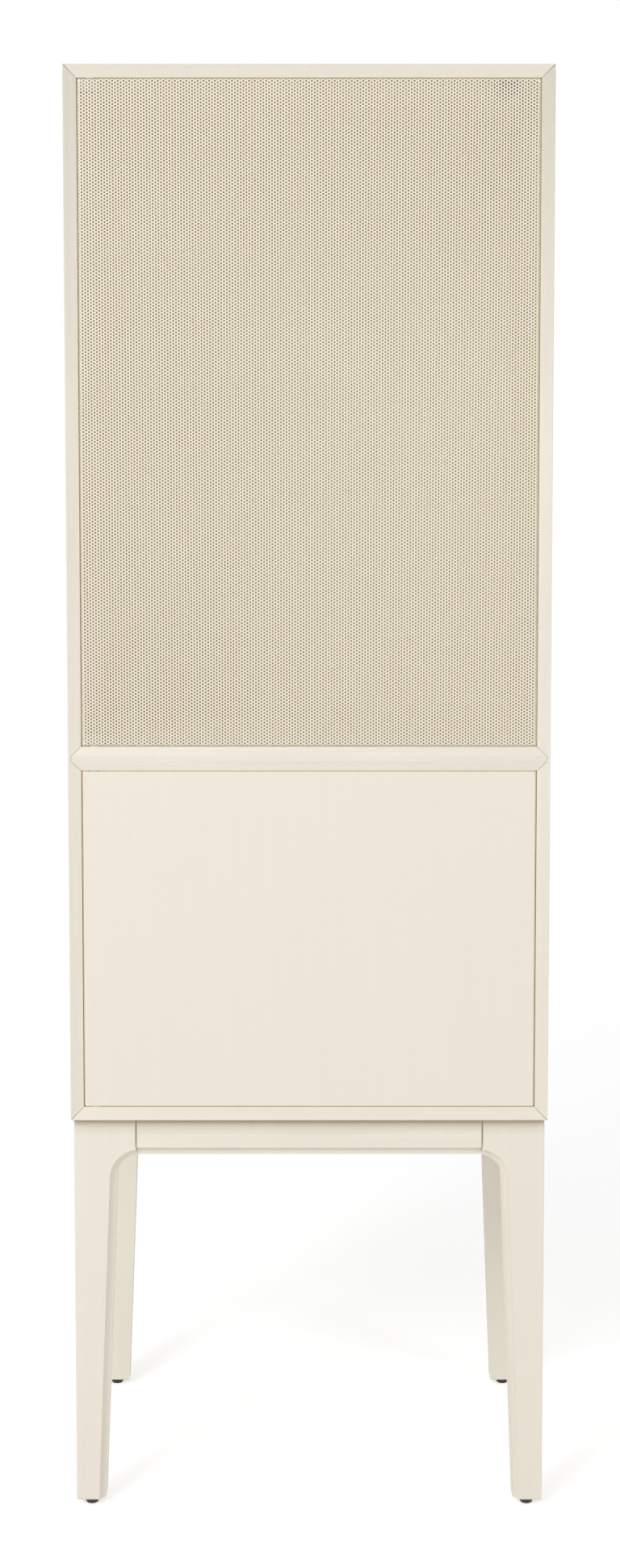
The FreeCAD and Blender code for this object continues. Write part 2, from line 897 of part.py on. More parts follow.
def front_left_leg():
    """The finished leg, with its cove, seam groove and bores."""
    groove = seam_cutter(seam_x)
    stem_foot = glide_place()
    stem = peg(glide_stem_radius + dowel_clearance, stem_foot, stem_foot + V(0, 0, glide_stem_length))
    bores = frame_dowels(dowel_radius + dowel_clearance) + [stem]
    return cut_all(leg_blank(), leg_cove() + [groove] + bores + block_screws())


def seam_cutter(x):
    """The shallow V along the seam between a leg and the apron."""
    y = leg_front_y
    section = [
        V(x - seam_groove - overrun, y - overrun, body_bottom_z + overrun),
        V(x + seam_groove + overrun, y - overrun, body_bottom_z + overrun),
        V(x, y + seam_groove, body_bottom_z + overrun),
    ]
    return prism(section, V(0, 0, -apron_height - 2 * overrun))


def front_apron():
    """The board between the front legs, coved along its lower edge."""
    y = leg_front_y
    board = block(
        (seam_x, -seam_x),
        (y, y + apron_thickness),
        (body_bottom_z - apron_height, body_bottom_z),
    )
    low = body_bottom_z - apron_height
    axis = V(seam_x - overrun, y, low + apron_cove_height - leg_cove_radius)
    cove = rod(leg_cove_radius, axis, V(-axis.x, axis.y, axis.z))
    below = block(
        (seam_x - overrun, -seam_x + overrun),
        (y - overrun, y + leg_cove_radius),
        (low - overrun, max(axis.z, low)),
    )
    dowels = frame_dowels(dowel_radius + dowel_clearance)
    dowels += [mirrored(pin, RIGHT) for pin in dowels]
    return cut_all(board, [cove, below, seam_cutter(seam_x), seam_cutter(-seam_x)] + dowels)


def side_apron_blank():
    """The board between the front and rear left legs."""
    outer_x = leg_outer_x + side_apron_inset
    board = block(
        (outer_x, outer_x + apron_thickness),
        (leg_back_y, -leg_back_y),
        (body_bottom_z - apron_height, body_bottom_z),
    )
    return chamfered(board, leg_arris_radius, is_low_apron_edge)


def is_low_apron_edge(edge):
    """True for the long lower edges of a side apron."""
    return runs_along(edge, BACK) and edge.CenterOfMass.z < body_bottom_z - apron_height / 2


def left_apron():
    """The side apron with the bores for its dowels and block screws."""
    bores = frame_dowels(dowel_radius + dowel_clearance) + block_screws()
    bores += [mirrored(cutter, BACK) for cutter in bores]
    return cut_all(side_apron_blank(), bores)


def frame_dowels(radius=dowel_radius):
    """The dowels that join the front left leg to its two aprons."""
    front_apron_y = leg_front_y + (leg_cove_radius + apron_thickness) / 2
    side_apron_x = leg_outer_x + side_apron_inset + apron_thickness / 2
    pins = []
    for drop in (upper_dowel_drop, lower_dowel_drop):
        z = body_bottom_z - drop
        pins.append(dowel(V(seam_x, front_apron_y, z), RIGHT, radius))
        pins.append(dowel(V(side_apron_x, leg_back_y, z), BACK, radius))
    return pins


def block_corner():
    """The inner corner that the front left corner block fills."""
    x = leg_outer_x + side_apron_inset + apron_thickness
    return V(x, leg_back_y, body_bottom_z)


def corner_block():
    """The triangular block glued and screwed inside the leg frame."""
    corner = block_corner()
    points = [corner, corner + V(corner_block_leg, 0, 0), corner + V(0, corner_block_leg, 0)]
    body = prism(points, V(0, 0, -corner_block_height))
    hole_top = bolt_place() + V(0, 0, overrun)
    hole_foot = bolt_place() - V(0, 0, corner_block_height + overrun)
    hole = peg(bolt_radius + bolt_clearance, hole_foot, hole_top)
    recesses = [screw_recess(*screw) for screw in block_screw_places()]
    return cut_all(body, [hole] + recesses + block_screws())


def block_screw_places():
    """The head and the direction of the screws through a corner block."""
    corner = block_corner()
    z = body_bottom_z - corner_block_height / 2
    sunk = block_screw_length - corner_screw_bite
    into_apron = V(corner.x + sunk, corner.y + corner_screw_offset, z)
    into_leg = V(corner.x + corner_screw_offset, corner.y + sunk, z)
    return [(into_apron, V(-1, 0, 0)), (into_leg, V(0, -1, 0))]


def block_screws():
    """The two screws that hold a corner block."""
    return [wood_screw(head, way, block_screw_length) for head, way in block_screw_places()]


def screw_recess(head, way):
    """The counterbore above a screw head that sits below a slanted face."""
    out = V(way).multiply(-corner_block_leg)
    return peg(screw_head_radius + dowel_clearance, head, head + out, screw_sides)


def bolt_place():
    """Where a frame bolt meets the underside of the carcass."""
    return block_corner() + V(corner_bolt_offset, corner_bolt_offset, 0)


def frame_bolt():
    """A bolt up through a corner block into the carcass floor."""
    seat = bolt_place() - V(0, 0, corner_block_height)
    tip = bolt_place() + V(0, 0, insert_length - bolt_end_margin)
    shank = peg(bolt_radius, seat, tip)
    head = peg(bolt_head_radius, seat - V(0, 0, bolt_head_height), seat, screw_sides)
    return shank.fuse(head).removeSplitter()


def threaded_insert():
    """The threaded sleeve in the carcass floor that takes a frame bolt."""
    foot = bolt_place()
    top = foot + V(0, 0, insert_length)
    sleeve = peg(insert_radius, foot, top)
    return sleeve.cut(peg(bolt_radius + insert_thread_clearance, foot, top))


def insert_hole():
    """The hole in the carcass floor for a threaded insert."""
    foot = bolt_place() - V(0, 0, overrun)
    return peg(insert_radius + dowel_clearance, foot, bolt_place() + V(0, 0, insert_length))


# Foot glides


def glide_place():
    """The middle of the front left leg's foot."""
    return V(leg_outer_x + foot_width / 2, leg_front_y + leg_thickness / 2, foot_z)


def glide():
    """A moulded glide with its stem in the leg."""
    place = glide_place()
    outline = [
        (glide_foot_radius - glide_edge_radius, -glide_height),
        (glide_foot_radius, glide_edge_radius - glide_height),
        (glide_radius, 0),
    ]
    foot = faceted(outline, place, UP, glide_sides)
    stem = peg(glide_stem_radius, place, place + V(0, 0, glide_stem_length))
    return foot.fuse(stem).removeSplitter()


def at_corners(shape):
    """A piece of the front left corner and its copies at the other corners."""
    rear = mirrored(shape, BACK)
    return [shape, mirrored(shape, RIGHT), rear, mirrored(rear, RIGHT)]


def all_corners(shapes):
    """Every copy of a list of pieces, at all four corners."""
    return [copy for shape in shapes for copy in at_corners(shape)]


def build_carcass():
    """The fixed box of the cabinet, piece by piece."""
    ring = carcass_ring()
    splines = corner_splines()
    rail = middle_rail()
    bushes = pivot_seats()
    screws = back_screws()
    top_latch_screws = [placed(screw, upper_latch_place, 0) for screw in latch_screws()]
    side_latch_screws = [placed(screw, lower_latch_place, 90) for screw in latch_screws()]
    dowel_holes = divider_dowels(dowel_radius + dowel_clearance)
    grooves = rail_end_grooves()
    left_cutters = splines + [rail] + dowel_holes + screws + shelf_holes() + grooves
    left = cut_all(ring.common(mitre_sector("left")), left_cutters)
    top = ring.common(mitre_sector("top"))
    bottom = ring.common(mitre_sector("bottom"))
    insert_holes = all_corners([insert_hole()])
    rail_bores = [bush_seat(*bush) for bush in bushes[1:3]] + rail_dowels(dowel_radius + dowel_clearance)
    return {
        "left_side_panel": [left],
        "right_side_panel": [cut_all(mirrored(left, RIGHT), side_latch_screws)],
        "top_panel": [cut_all(top, splines + screws + top_latch_screws + [bush_seat(*bushes[0])])],
        "bottom_panel": [
            cut_all(bottom, splines + screws + insert_holes + [bush_seat(*bushes[3])])
        ],
        "corner_splines": splines,
        "middle_rail": [cut_all(rail, rail_bores + grooves)],
        "divider_board": [cut_all(divider_board(), screws)],
        "divider_dowels": divider_dowels(),
        "rail_dowels": rail_dowels(),
        "back_panel": [cut_all(back_panel_blank(), screws)],
        "back_panel_screws": screws,
        "lower_shelf": [lower_shelf()],
        "shelf_pins": shelf_pins(),
        "pivot_bushes": [pivot_bush(*bush) for bush in bushes],
        "threaded_inserts": all_corners([threaded_insert()]),
        "upper_latch_housing": [placed(latch_housing(), upper_latch_place, 0)],
        "lower_latch_housing": [placed(latch_housing(), lower_latch_place, 90)],
        "latch_screws": top_latch_screws + side_latch_screws,
    }


def build_doors():
    """The two doors and the plungers that hold them."""
    return {
        "mesh_door_sheet": [mesh_door_sheet()],
        "mesh_door_pivot_blocks": pivot_blocks(),
        "mesh_door_pivot_pins": mesh_door_pins(),
        "mesh_door_strike": [mesh_door_strike()],
        "lower_door_panel": [lower_door_panel()],
        "lower_door_pivot_pins": lower_door_pins(),
        "lower_door_strike": [lower_strike_plate()],
        "lower_door_strike_screws": lower_strike_screws(),
        "upper_latch_plunger": [placed(latch_plunger(), upper_latch_place, 0)],
        "lower_latch_plunger": [placed(latch_plunger(), lower_latch_place, 90)],
    }


def build_leg_frame():
    """The four legs, the aprons between them and what joins them."""
    pieces = {}
    corners = ("front_left", "front_right", "rear_left", "rear_right")
    repeated = {
        "leg": at_corners(front_left_leg()),
        "corner_block": at_corners(corner_block()),
        "glide": at_corners(glide()),
    }
    for kind, copies in repeated.items():
        for corner, copy in zip(corners, copies):
            pieces[corner + "_" + kind] = [copy]
    front = front_apron()
    left = left_apron()
    pieces["front_apron"] = [front]
    pieces["rear_apron"] = [mirrored(front, BACK)]
    pieces["left_apron"] = [left]
    pieces["right_apron"] = [mirrored(left, RIGHT)]
    pieces["leg_frame_dowels"] = all_corners(frame_dowels())
    pieces["corner_block_screws"] = all_corners(block_screws())
    pieces["frame_bolts"] = all_corners([frame_bolt()])
    return pieces


def save(name, shapes):
    """Write one named piece, or a group of like pieces, and say what it holds."""
    solids = [solid for shape in shapes for solid in shape.Solids]
    whole = solids[0] if len(solids) == 1 else Part.makeCompound(solids)
    whole.exportStep("parts/" + name + ".step")
    state = "ok" if whole.isValid() else "NOT VALID"
    volume = whole.Volume / 1000
    print(f"{name:26s} {len(solids):3d} solid(s) of {len(shapes):2d} {volume:10.2f} cm3 {state}")


os.makedirs("parts", exist_ok=True)
for name, shapes in {**build_carcass(), **build_doors(), **build_leg_frame()}.items():
    save(name, shapes)
print("overall", cabinet_width, cabinet_depth, body_top_z)
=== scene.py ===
# %% [markdown]
# # Dressing a tall storage cabinet
#
# The cabinet is a bevelled wooden box on a coved leg frame. A folded sheet of perforated steel
# closes its upper part and a plain board closes the lower one, and both open on hidden pivots.
# We could model all of that again here, but the exact solids exist already, so the lesson opens
# them first. Each stands in its right place, in metres, with the floor at zero and the front
# towards -Y. What is left for Blender is the part that the eye judges: light, finishes, and the
# few pieces whose true form is finer than a plain solid can hold.

# %% Open the cabinet's solids
import math
import bmesh
import bpy
import numpy as np
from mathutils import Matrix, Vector


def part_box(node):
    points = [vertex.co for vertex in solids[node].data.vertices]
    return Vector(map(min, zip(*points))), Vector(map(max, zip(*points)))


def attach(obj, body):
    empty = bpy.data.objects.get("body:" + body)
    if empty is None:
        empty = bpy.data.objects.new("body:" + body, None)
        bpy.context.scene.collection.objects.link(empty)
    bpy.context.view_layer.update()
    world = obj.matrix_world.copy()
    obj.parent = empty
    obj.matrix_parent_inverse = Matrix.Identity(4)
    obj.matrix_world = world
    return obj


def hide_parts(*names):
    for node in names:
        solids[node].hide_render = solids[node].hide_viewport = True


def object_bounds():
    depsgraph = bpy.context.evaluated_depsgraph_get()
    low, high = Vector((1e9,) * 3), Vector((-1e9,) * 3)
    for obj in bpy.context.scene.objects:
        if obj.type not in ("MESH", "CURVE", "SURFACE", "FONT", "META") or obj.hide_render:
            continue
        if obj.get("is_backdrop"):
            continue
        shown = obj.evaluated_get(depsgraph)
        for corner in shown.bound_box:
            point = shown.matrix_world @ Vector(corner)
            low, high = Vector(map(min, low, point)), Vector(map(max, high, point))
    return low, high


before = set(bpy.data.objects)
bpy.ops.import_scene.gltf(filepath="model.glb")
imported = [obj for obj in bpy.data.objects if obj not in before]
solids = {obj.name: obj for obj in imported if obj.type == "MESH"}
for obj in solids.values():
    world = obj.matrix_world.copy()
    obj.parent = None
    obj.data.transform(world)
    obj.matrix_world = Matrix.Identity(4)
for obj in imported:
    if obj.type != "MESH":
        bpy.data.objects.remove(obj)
solid_box = [list(corner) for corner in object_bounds()]
mm = 0.001
tiny = 0.02 * mm
print(len(solids), "solids, highest point", round(solid_box[1][2], 3), "m")

# %% [markdown]
# The photograph was taken from the front, at three quarters of the cabinet's height and tipped
# down by four degrees. The tip shows: the sides lean in towards the floor. A level camera with
# more lens shift would keep them upright, which is tidier but wrong here, so the tip is kept and
# only the rise of the frame comes from the shift.

# %% Stand the camera where the photographer stood
scene = bpy.context.scene
scene.view_settings.view_transform = "Standard"
lens = bpy.data.cameras.new("viewpoint")
lens.lens = 48.92
lens.sensor_width = 36.0
lens.shift_x = -0.0024
lens.shift_y = -0.1174
lens.clip_end = 100.0
camera = bpy.data.objects.new("viewpoint", lens)
camera.location = (0.0058, -2.8263, 1.3481)
camera.rotation_euler = (math.radians(90 - 4.048), 0, 0)
scene.collection.objects.link(camera)
scene.camera = camera
print("camera", round(-camera.location.y, 2), "m in front,", round(camera.location.z, 2), "m up")

# %% [markdown]
# Materials are built as node trees, and a tree built by hand takes three lines for each node.
# A few small helpers keep the finishes readable: one adds a node with its settings and inputs,
# one links or sets an input, one does a step of arithmetic, one stretches a range, and others
# mix two colours, make one lighter or darker, open an empty material, and lay the colour, the
# gloss and the relief on it.

# %% Helpers that add nodes


def add(tree, kind, settings=None, **inputs):
    """A new node, with its settings, and a value or a link for each input."""
    made = tree.nodes.new("ShaderNode" + kind)
    for name, value in (settings or {}).items():
        setattr(made, name, value)
    for name, value in inputs.items():
        feed(tree, value, made.inputs[name.replace("_", " ")])
    return made


def feed(tree, value, socket):
    """Gives an input a link or a plain value."""
    if isinstance(value, bpy.types.NodeSocket):
        tree.links.new(value, socket)
    elif socket.type == "RGBA":
        socket.default_value = (*value, 1.0)
    else:
        socket.default_value = value


def sums(tree, operation, *values):
    """One step of arithmetic on sockets and numbers."""
    made = add(tree, "Math", {"operation": operation})
    for socket, value in zip(made.inputs, values):
        feed(tree, value, socket)
    return made.outputs[0]


print("helpers: add, feed, sums")

# %% Helpers that stretch a range and mix colours


def spread(tree, value, low, high, to_low=0.0, to_high=1.0):
    """Stretches the part of a value between low and high."""
    made = add(tree, "MapRange", {"clamp": True}, Value=value)
    for socket, number in zip(made.inputs[1:5], (low, high, to_low, to_high)):
        socket.default_value = number
    return made.outputs[0]


def tint(tree, share, first, second):
    """Goes from the first colour to the second as share goes from 0 to 1."""
    made = add(tree, "Mix", {"data_type": "RGBA"})
    for number, value in ((0, share), (6, first), (7, second)):
        feed(tree, value, made.inputs[number])
    return made.outputs[2]


def times(colour, factor):
    """A colour made lighter or darker, never quite white."""
    return tuple(min(channel * factor, 0.95) for channel in colour)


def new_finish(name):
    """An empty material, with its node tree and its surface shader."""
    material = bpy.data.materials.new(name)
    material.use_nodes = True
    return material, material.node_tree, material.node_tree.nodes["Principled BSDF"]


def lay_on(tree, surface, colour, rough, relief, strength, depth):
    """Gives a surface its colour, its roughness and a relief of some depth."""
    feed(tree, colour, surface.inputs["Base Color"])
    feed(tree, rough, surface.inputs["Roughness"])
    bump = add(tree, "Bump", Height=relief, Strength=strength, Distance=depth)
    feed(tree, bump.outputs[0], surface.inputs["Normal"])


print("helpers: spread, tint, times, new_finish, lay_on")

# %% [markdown]
# The light in the photograph is soft and even: a key from high on the left, a broad source on
# each side at chest height, and a bright room all round. One lamp would be simpler, but it would
# leave the cabinet's inside black and its bevels flat. Three softboxes that stand well away and a
# dim white world give the gentle fall of light on the door and part of the soft shadow under the
# box; the rest of that shadow is painted onto the leg frame.

# %% Three softboxes


def softbox(name, place, target, size, power):
    """A rectangular lamp that faces a target."""
    lamp = bpy.data.lights.new(name, "AREA")
    lamp.shape = "RECTANGLE"
    lamp.size, lamp.size_y = size
    lamp.energy = power
    made = bpy.data.objects.new(name, lamp)
    made.location = place
    made.rotation_euler = (Vector(target) - Vector(place)).to_track_quat("-Z", "Y").to_euler()
    scene.collection.objects.link(made)
    print(name, power, "W")


cabinet_middle = (0, 0, 1.0)
softbox("key_softbox", (-2.8, -4.4, 4.3), cabinet_middle, (2.0, 2.0), 112)
softbox("left_softbox", (-4.6, -3.6, 1.6), cabinet_middle, (1.6, 2.4), 52)
softbox("right_softbox", (4.6, -3.6, 1.6), cabinet_middle, (1.6, 2.4), 60)

# %% [markdown]
# Behind the perforated sheet lies a pale box, and light that gets in there is thrown from wall
# to wall many times before it comes out again. Blender stops after four such bounces unless we
# say otherwise, and then the inside looks grey and the sheet's holes too dark. A lamp inside
# would cheat, as the cabinet has none, so the light is followed further instead, and grows as
# warm as the cream that it meets.

# %% Follow the light inside the box
scene.cycles.diffuse_bounces = 12
print("light is followed for", scene.cycles.diffuse_bounces, "bounces")

# %% [markdown]
# The background has to be white, and the light on the cabinet has to stay plain. A brighter
# world would do the first and spoil the second. Instead the world has two strengths: rays that
# come from the camera, from a gloss or through glass find full white, and the rays that light
# the cabinet find the dim one.

# %% A white background and a dim room


def seen_directly(tree):
    """1 for rays from the camera, a gloss or a glass, and 0 for rays that carry light."""
    rays = add(tree, "LightPath")
    seen = sums(tree, "MAXIMUM", rays.outputs["Is Camera Ray"], rays.outputs["Is Glossy Ray"])
    return sums(tree, "MAXIMUM", seen, rays.outputs["Is Transmission Ray"])


world = bpy.data.worlds.new("studio")
world.use_nodes = True
scene.world = world
tree = world.node_tree
tree.nodes.clear()
room = add(tree, "Background", Color=(1, 1, 1), Strength=0.45)
backdrop = add(tree, "Background", Color=(1, 1, 1), Strength=1.0)
either = add(tree, "MixShader", Fac=seen_directly(tree))
tree.links.new(room.outputs[0], either.inputs[1])
tree.links.new(backdrop.outputs[0], either.inputs[2])
add(tree, "OutputWorld", Surface=either.outputs[0])
print("room light", room.inputs["Strength"].default_value)

# %% [markdown]
# The floor must melt into that white and still carry the cabinet's shadow. A shadow catcher
# would need a compositor, so the floor is a plain pale surface with a little light of its own
# for the camera: in the open it reaches white, under the legs it stays darker. Far from the
# cabinet it turns into pure white, so that no horizon shows.

# %% The floor
reach = 14.0
floor_mesh = bpy.data.meshes.new("studio_floor")
square = [(-reach, -reach, 0), (reach, -reach, 0), (reach, reach, 0), (-reach, reach, 0)]
floor_mesh.from_pydata(square, [], [(0, 1, 2, 3)])
studio_floor = bpy.data.objects.new("studio_floor", floor_mesh)
scene.collection.objects.link(studio_floor)
studio_floor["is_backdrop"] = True

white_floor, tree, surface = new_finish("white_studio_floor")
surface.inputs["Base Color"].default_value = (0.84, 0.84, 0.84, 1)
surface.inputs["Roughness"].default_value = 0.9
floor_mesh.materials.append(white_floor)
seen = seen_directly(tree)
own_light = add(tree, "Emission", Color=(1, 1, 1), Strength=sums(tree, "MULTIPLY", seen, 0.5))
near = add(tree, "AddShader")
tree.links.new(surface.outputs[0], near.inputs[0])
tree.links.new(own_light.outputs[0], near.inputs[1])
ground = add(tree, "NewGeometry")
distance = add(tree, "VectorMath", {"operation": "LENGTH"})
tree.links.new(ground.outputs["Position"], distance.inputs[0])
far = sums(tree, "MULTIPLY", spread(tree, distance.outputs["Value"], 0.7, 3.0), seen)
white = add(tree, "Emission", Color=(1, 1, 1), Strength=1.0)
both = add(tree, "MixShader", Fac=far)
tree.links.new(near.outputs[0], both.inputs[1])
tree.links.new(white.outputs[0], both.inputs[2])
tree.links.new(both.outputs[0], tree.nodes["Material Output"].inputs["Surface"])
print("floor", 2 * reach, "m wide")

# %% [markdown]
# The carcass, the legs and the lower door are close-grained wood under a cream stain and a
# satin lacquer. The colour is calm, but it isn't flat: there are slow clouds in the stain,
# streaks that follow the grain, fine open pores that hold a darker speck, edges that cloths and
# hands have polished a little lighter, and joints darkened by painted shade with some pooled
# stain. An image of wood would repeat and would need unwrapping, so the streaks, clouds and
# pores are noises stretched along the grain of their own board, and the edges and joints are
# found from the shape itself.

# %% Noise that follows the grain


def along_grain(tree, axis, across, along):
    """Places on the piece, stretched so that one step is across wide and along long."""
    place = add(tree, "TexCoord")
    sizes = [along if name == axis else across for name in "XYZ"]
    stretched = add(tree, "Mapping", {"vector_type": "TEXTURE"}, Vector=place.outputs["Object"])
    stretched.inputs["Scale"].default_value = sizes
    return stretched.outputs[0]


def grain(tree, axis, across, along, detail=2.0, waver=0.0):
    """Noise with grains that are across wide and along long, in metres."""
    places = along_grain(tree, axis, across, along)
    noise = add(tree, "TexNoise", Vector=places, Scale=1.0, Detail=detail, Distortion=waver)
    return noise.outputs["Fac"]


def rubbed_edges(tree, width):
    """1 on the edges that hands and cloths reach, 0 on the flats."""
    rounded = add(tree, "Bevel", {"samples": 4}, Radius=width)
    plain = add(tree, "NewGeometry")
    agree = add(tree, "VectorMath", {"operation": "DOT_PRODUCT"})
    tree.links.new(rounded.outputs[0], agree.inputs[0])
    tree.links.new(plain.outputs["Normal"], agree.inputs[1])
    return spread(tree, agree.outputs["Value"], 0.995, 0.85)


print("grain runs along X, Y or Z of the cabinet")

# %% [markdown]
# Two more masks come from the shape. One asks how much of the view from a place is blocked
# nearby: it lays painted shade, with some pooled stain, in the mitres and the seams of the legs,
# and a painted shadow right under the box. The other asks whether a place lies between the inner
# faces, where the boards are painted paler, as painted light inside the box.

# %% Masks for painted shade and stain, and for painted light inside
inner_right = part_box("right_side_panel")[0].x
inner_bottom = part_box("bottom_panel")[1].z
inner_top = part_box("top_panel")[0].z
inner_middle = (inner_top + inner_bottom) / 2
hair = 0.2 * mm


# Painted shade where the view is blocked nearby; in the seams it also stands for pooled stain.
def occlusion_shade_and_stain(tree, reach, closed):
    """1 where only this share of the view within reach is open, 0 where all of it is."""
    view = add(tree, "AmbientOcclusion", {"samples": 8}, Distance=reach)
    return spread(tree, view.outputs["AO"], 1.0, closed)


def looks_inwards(tree, front):
    """1 on the faces behind front that look into the box, 0 on the outer faces."""
    place = add(tree, "SeparateXYZ", Vector=add(tree, "TexCoord").outputs["Object"])
    x, y, z = place.outputs
    across = sums(tree, "LESS_THAN", sums(tree, "ABSOLUTE", x), inner_right + hair)
    level = sums(tree, "ABSOLUTE", sums(tree, "SUBTRACT", z, inner_middle))
    upright = sums(tree, "LESS_THAN", level, inner_top - inner_middle + hair)
    behind = sums(tree, "GREATER_THAN", y, front)
    return sums(tree, "MULTIPLY", behind, sums(tree, "MULTIPLY", across, upright))


inner_height = inner_top - inner_bottom
print("inside:", round(2 * inner_right / mm), "mm wide,", round(inner_height / mm), "mm high")

# %% [markdown]
# The colour isn't even. The sides are painted darker towards their top, as painted shade, the
# leg frame gets a painted brown shadow right under the box, and every seam is darkened by
# painted shade with some pooled stain. One picture could not follow so many boards, so the masks
# are laid over each board's own colour one after the other, from the widest to the narrowest,
# and the painted light on the insides comes last.

# %% Colours of the wood
cream = (0.894, 0.835, 0.723)
# Painted light: the paler cream for the faces that look into the box.
painted_light_cream = (0.95, 0.89, 0.745)
# Painted shadow: the brown laid on the leg frame right under the box.
shadow_brown = (0.25, 0.125, 0.02)
board_front = -199.8 * mm
door_front = -195.8 * mm
legs_upper_end = (0.46, 0.48)
sides_upper_end = (1.35, 1.80)
# How far below the box the painted shadow reaches.
shadow_reach = 22 * mm
seam_reach = 2 * mm
print("cream", cream)

# %% Painted shade and shadow, shade and stain in the seams, painted light inside


def with_painted_shade_and_light(tree, stain, colour, front, shadow_below_box, shaded_top):
    """The stain with painted shade at the top, a painted shadow under the box, painted
    shade and pooled stain in the seams, and painted light on the insides.
    """
    height = add(tree, "SeparateXYZ", Vector=add(tree, "TexCoord").outputs["Object"]).outputs["Z"]
    # Painted shade: the sides darken towards their top.
    if shaded_top:
        upper = spread(tree, height, *sides_upper_end, 0.0, shaded_top)
        stain = tint(tree, upper, stain, times(colour, 0.6))
    # Painted shadow: the leg frame turns brown right under the box, where the box shades it.
    if shadow_below_box:
        upper = spread(tree, height, *legs_upper_end, 0.0, shadow_below_box)
        painted_shadow_mask = sums(tree, "MULTIPLY", upper, occlusion_shade_and_stain(tree, shadow_reach, 0.7))
        stain = tint(tree, painted_shadow_mask, stain, shadow_brown)
    # Painted shade with some pooled stain: every seam is darkened where the view is blocked.
    seam_shade_and_stain = sums(tree, "MULTIPLY", occlusion_shade_and_stain(tree, seam_reach, 0.5), 0.8)
    stain = tint(tree, seam_shade_and_stain, stain, times(colour, 0.35))
    # Painted light: the faces that look into the box are painted paler.
    return tint(tree, looks_inwards(tree, front), stain, painted_light_cream)


# The painted shadow under the box reaches this far.
print("stain pools within", round(shadow_reach / mm), "mm under the box")

# %% Cream stain and satin lacquer


def cream_wood(name, colour, axis, pores=0.15, figure=0.03, front=board_front,
               shadow_below_box=0.0, shaded_top=0.0):
    """Close-grained wood under a cream stain and a satin lacquer."""
    material, tree, surface = new_finish(name)
    streaks = grain(tree, axis, 14 * mm, 300 * mm, 4.0, 0.4)
    clouds = grain(tree, axis, 120 * mm, 350 * mm)
    fibres = grain(tree, axis, 1.1 * mm, 45 * mm, 3.0)
    open_pores = spread(tree, grain(tree, axis, 0.6 * mm, 9 * mm, 1.0), 0.62, 0.72, 0.0, pores)
    tone = spread(tree, tint(tree, 0.4, streaks, clouds), 0.38, 0.62)
    stain = tint(tree, tone, times(colour, 1 + figure), times(colour, 1 - figure))
    stain = tint(tree, open_pores, stain, times(colour, 0.72))
    stain = with_painted_shade_and_light(tree, stain, colour, front, shadow_below_box, shaded_top)
    handled = spread(tree, clouds, 0.35, 0.65, 0.25, 0.8)
    worn = sums(tree, "MULTIPLY", rubbed_edges(tree, 1.2 * mm), handled)
    shade = tint(tree, worn, stain, times(colour, 1.05))
    sheen = spread(tree, fibres, 0.3, 0.7, 0.40, 0.50)
    rough = sums(tree, "SUBTRACT", sheen, sums(tree, "MULTIPLY", worn, 0.08))
    relief = sums(tree, "SUBTRACT", sums(tree, "MULTIPLY", fibres, 0.5), open_pores)
    lay_on(tree, surface, shade, rough, relief, 0.35, 0.1 * mm)
    return material


print("the wood's finish is ready for each board")

# %% [markdown]
# A material goes on a solid by its slots, and the mesh stays as it is. Boards differ in the
# way their grain runs, so each group of boards has its own copy: upright in the sides, legs and
# back, level in the top, bottom, rail and aprons. The sides and the top panel are also darker
# copies of the cream, as painted shade for their bevels, the left side a little darker than the
# right. The door's face is the smoothest board of all and hardly shows its pores.

# %% Stain the boards


def dress(material, *names):
    """Gives solids their finish."""
    for name in names:
        skin = solids[name].data.materials
        skin.clear()
        skin.append(material)
    print(material.name, "on", len(names), "solids")


corners = ("front_left", "front_right", "rear_left", "rear_right")
# Painted shade: the sides and the top panel get darker copies of the cream, the left side darkest.
dress(cream_wood("left_side_shaded_cream", times(cream, 0.955), "Z", shaded_top=0.34), "left_side_panel")
dress(cream_wood("right_side_shaded_cream", times(cream, 0.965), "Z", shaded_top=0.58), "right_side_panel")
dress(cream_wood("top_panel_shaded_cream", times(cream, 0.93), "X", pores=0.2), "top_panel")
dress(cream_wood("cream_bottom_panel", times(cream, 0.98), "X"), "bottom_panel")
dress(cream_wood("cream_rail_and_shelves", times(cream, 0.98), "X", pores=0.2, front=door_front),
      "middle_rail", "divider_board", "lower_shelf")
dress(cream_wood("cream_lower_door", cream, "Z", pores=0.04, figure=0.006, front=door_front),
      "lower_door_panel")
# The legs and aprons carry the painted shadow under the box.
cream_legs = cream_wood("cream_legs", cream, "Z", pores=0.08, figure=0.012, shadow_below_box=0.7)
dress(cream_legs, *[at + "_leg" for at in corners])
dress(cream_wood("cream_long_aprons", cream, "X", pores=0.25, shadow_below_box=0.75),
      "front_apron", "rear_apron")
dress(cream_wood("cream_side_aprons", cream, "Y", pores=0.25, shadow_below_box=0.75),
      "left_apron", "right_apron")
dress(cream_wood("cream_back_panel", times(cream, 0.98), "Z", pores=0.1, figure=0.015),
      "back_panel")

# %% [markdown]
# The splines in the mitres, the dowels and the corner blocks are bare beech, which nobody sees
# until the cabinet comes apart. Beech is told by its colour and its short dark flecks, so the
# finish has streaks for the colour and a second, much shorter noise for the flecks.

# %% Bare beech


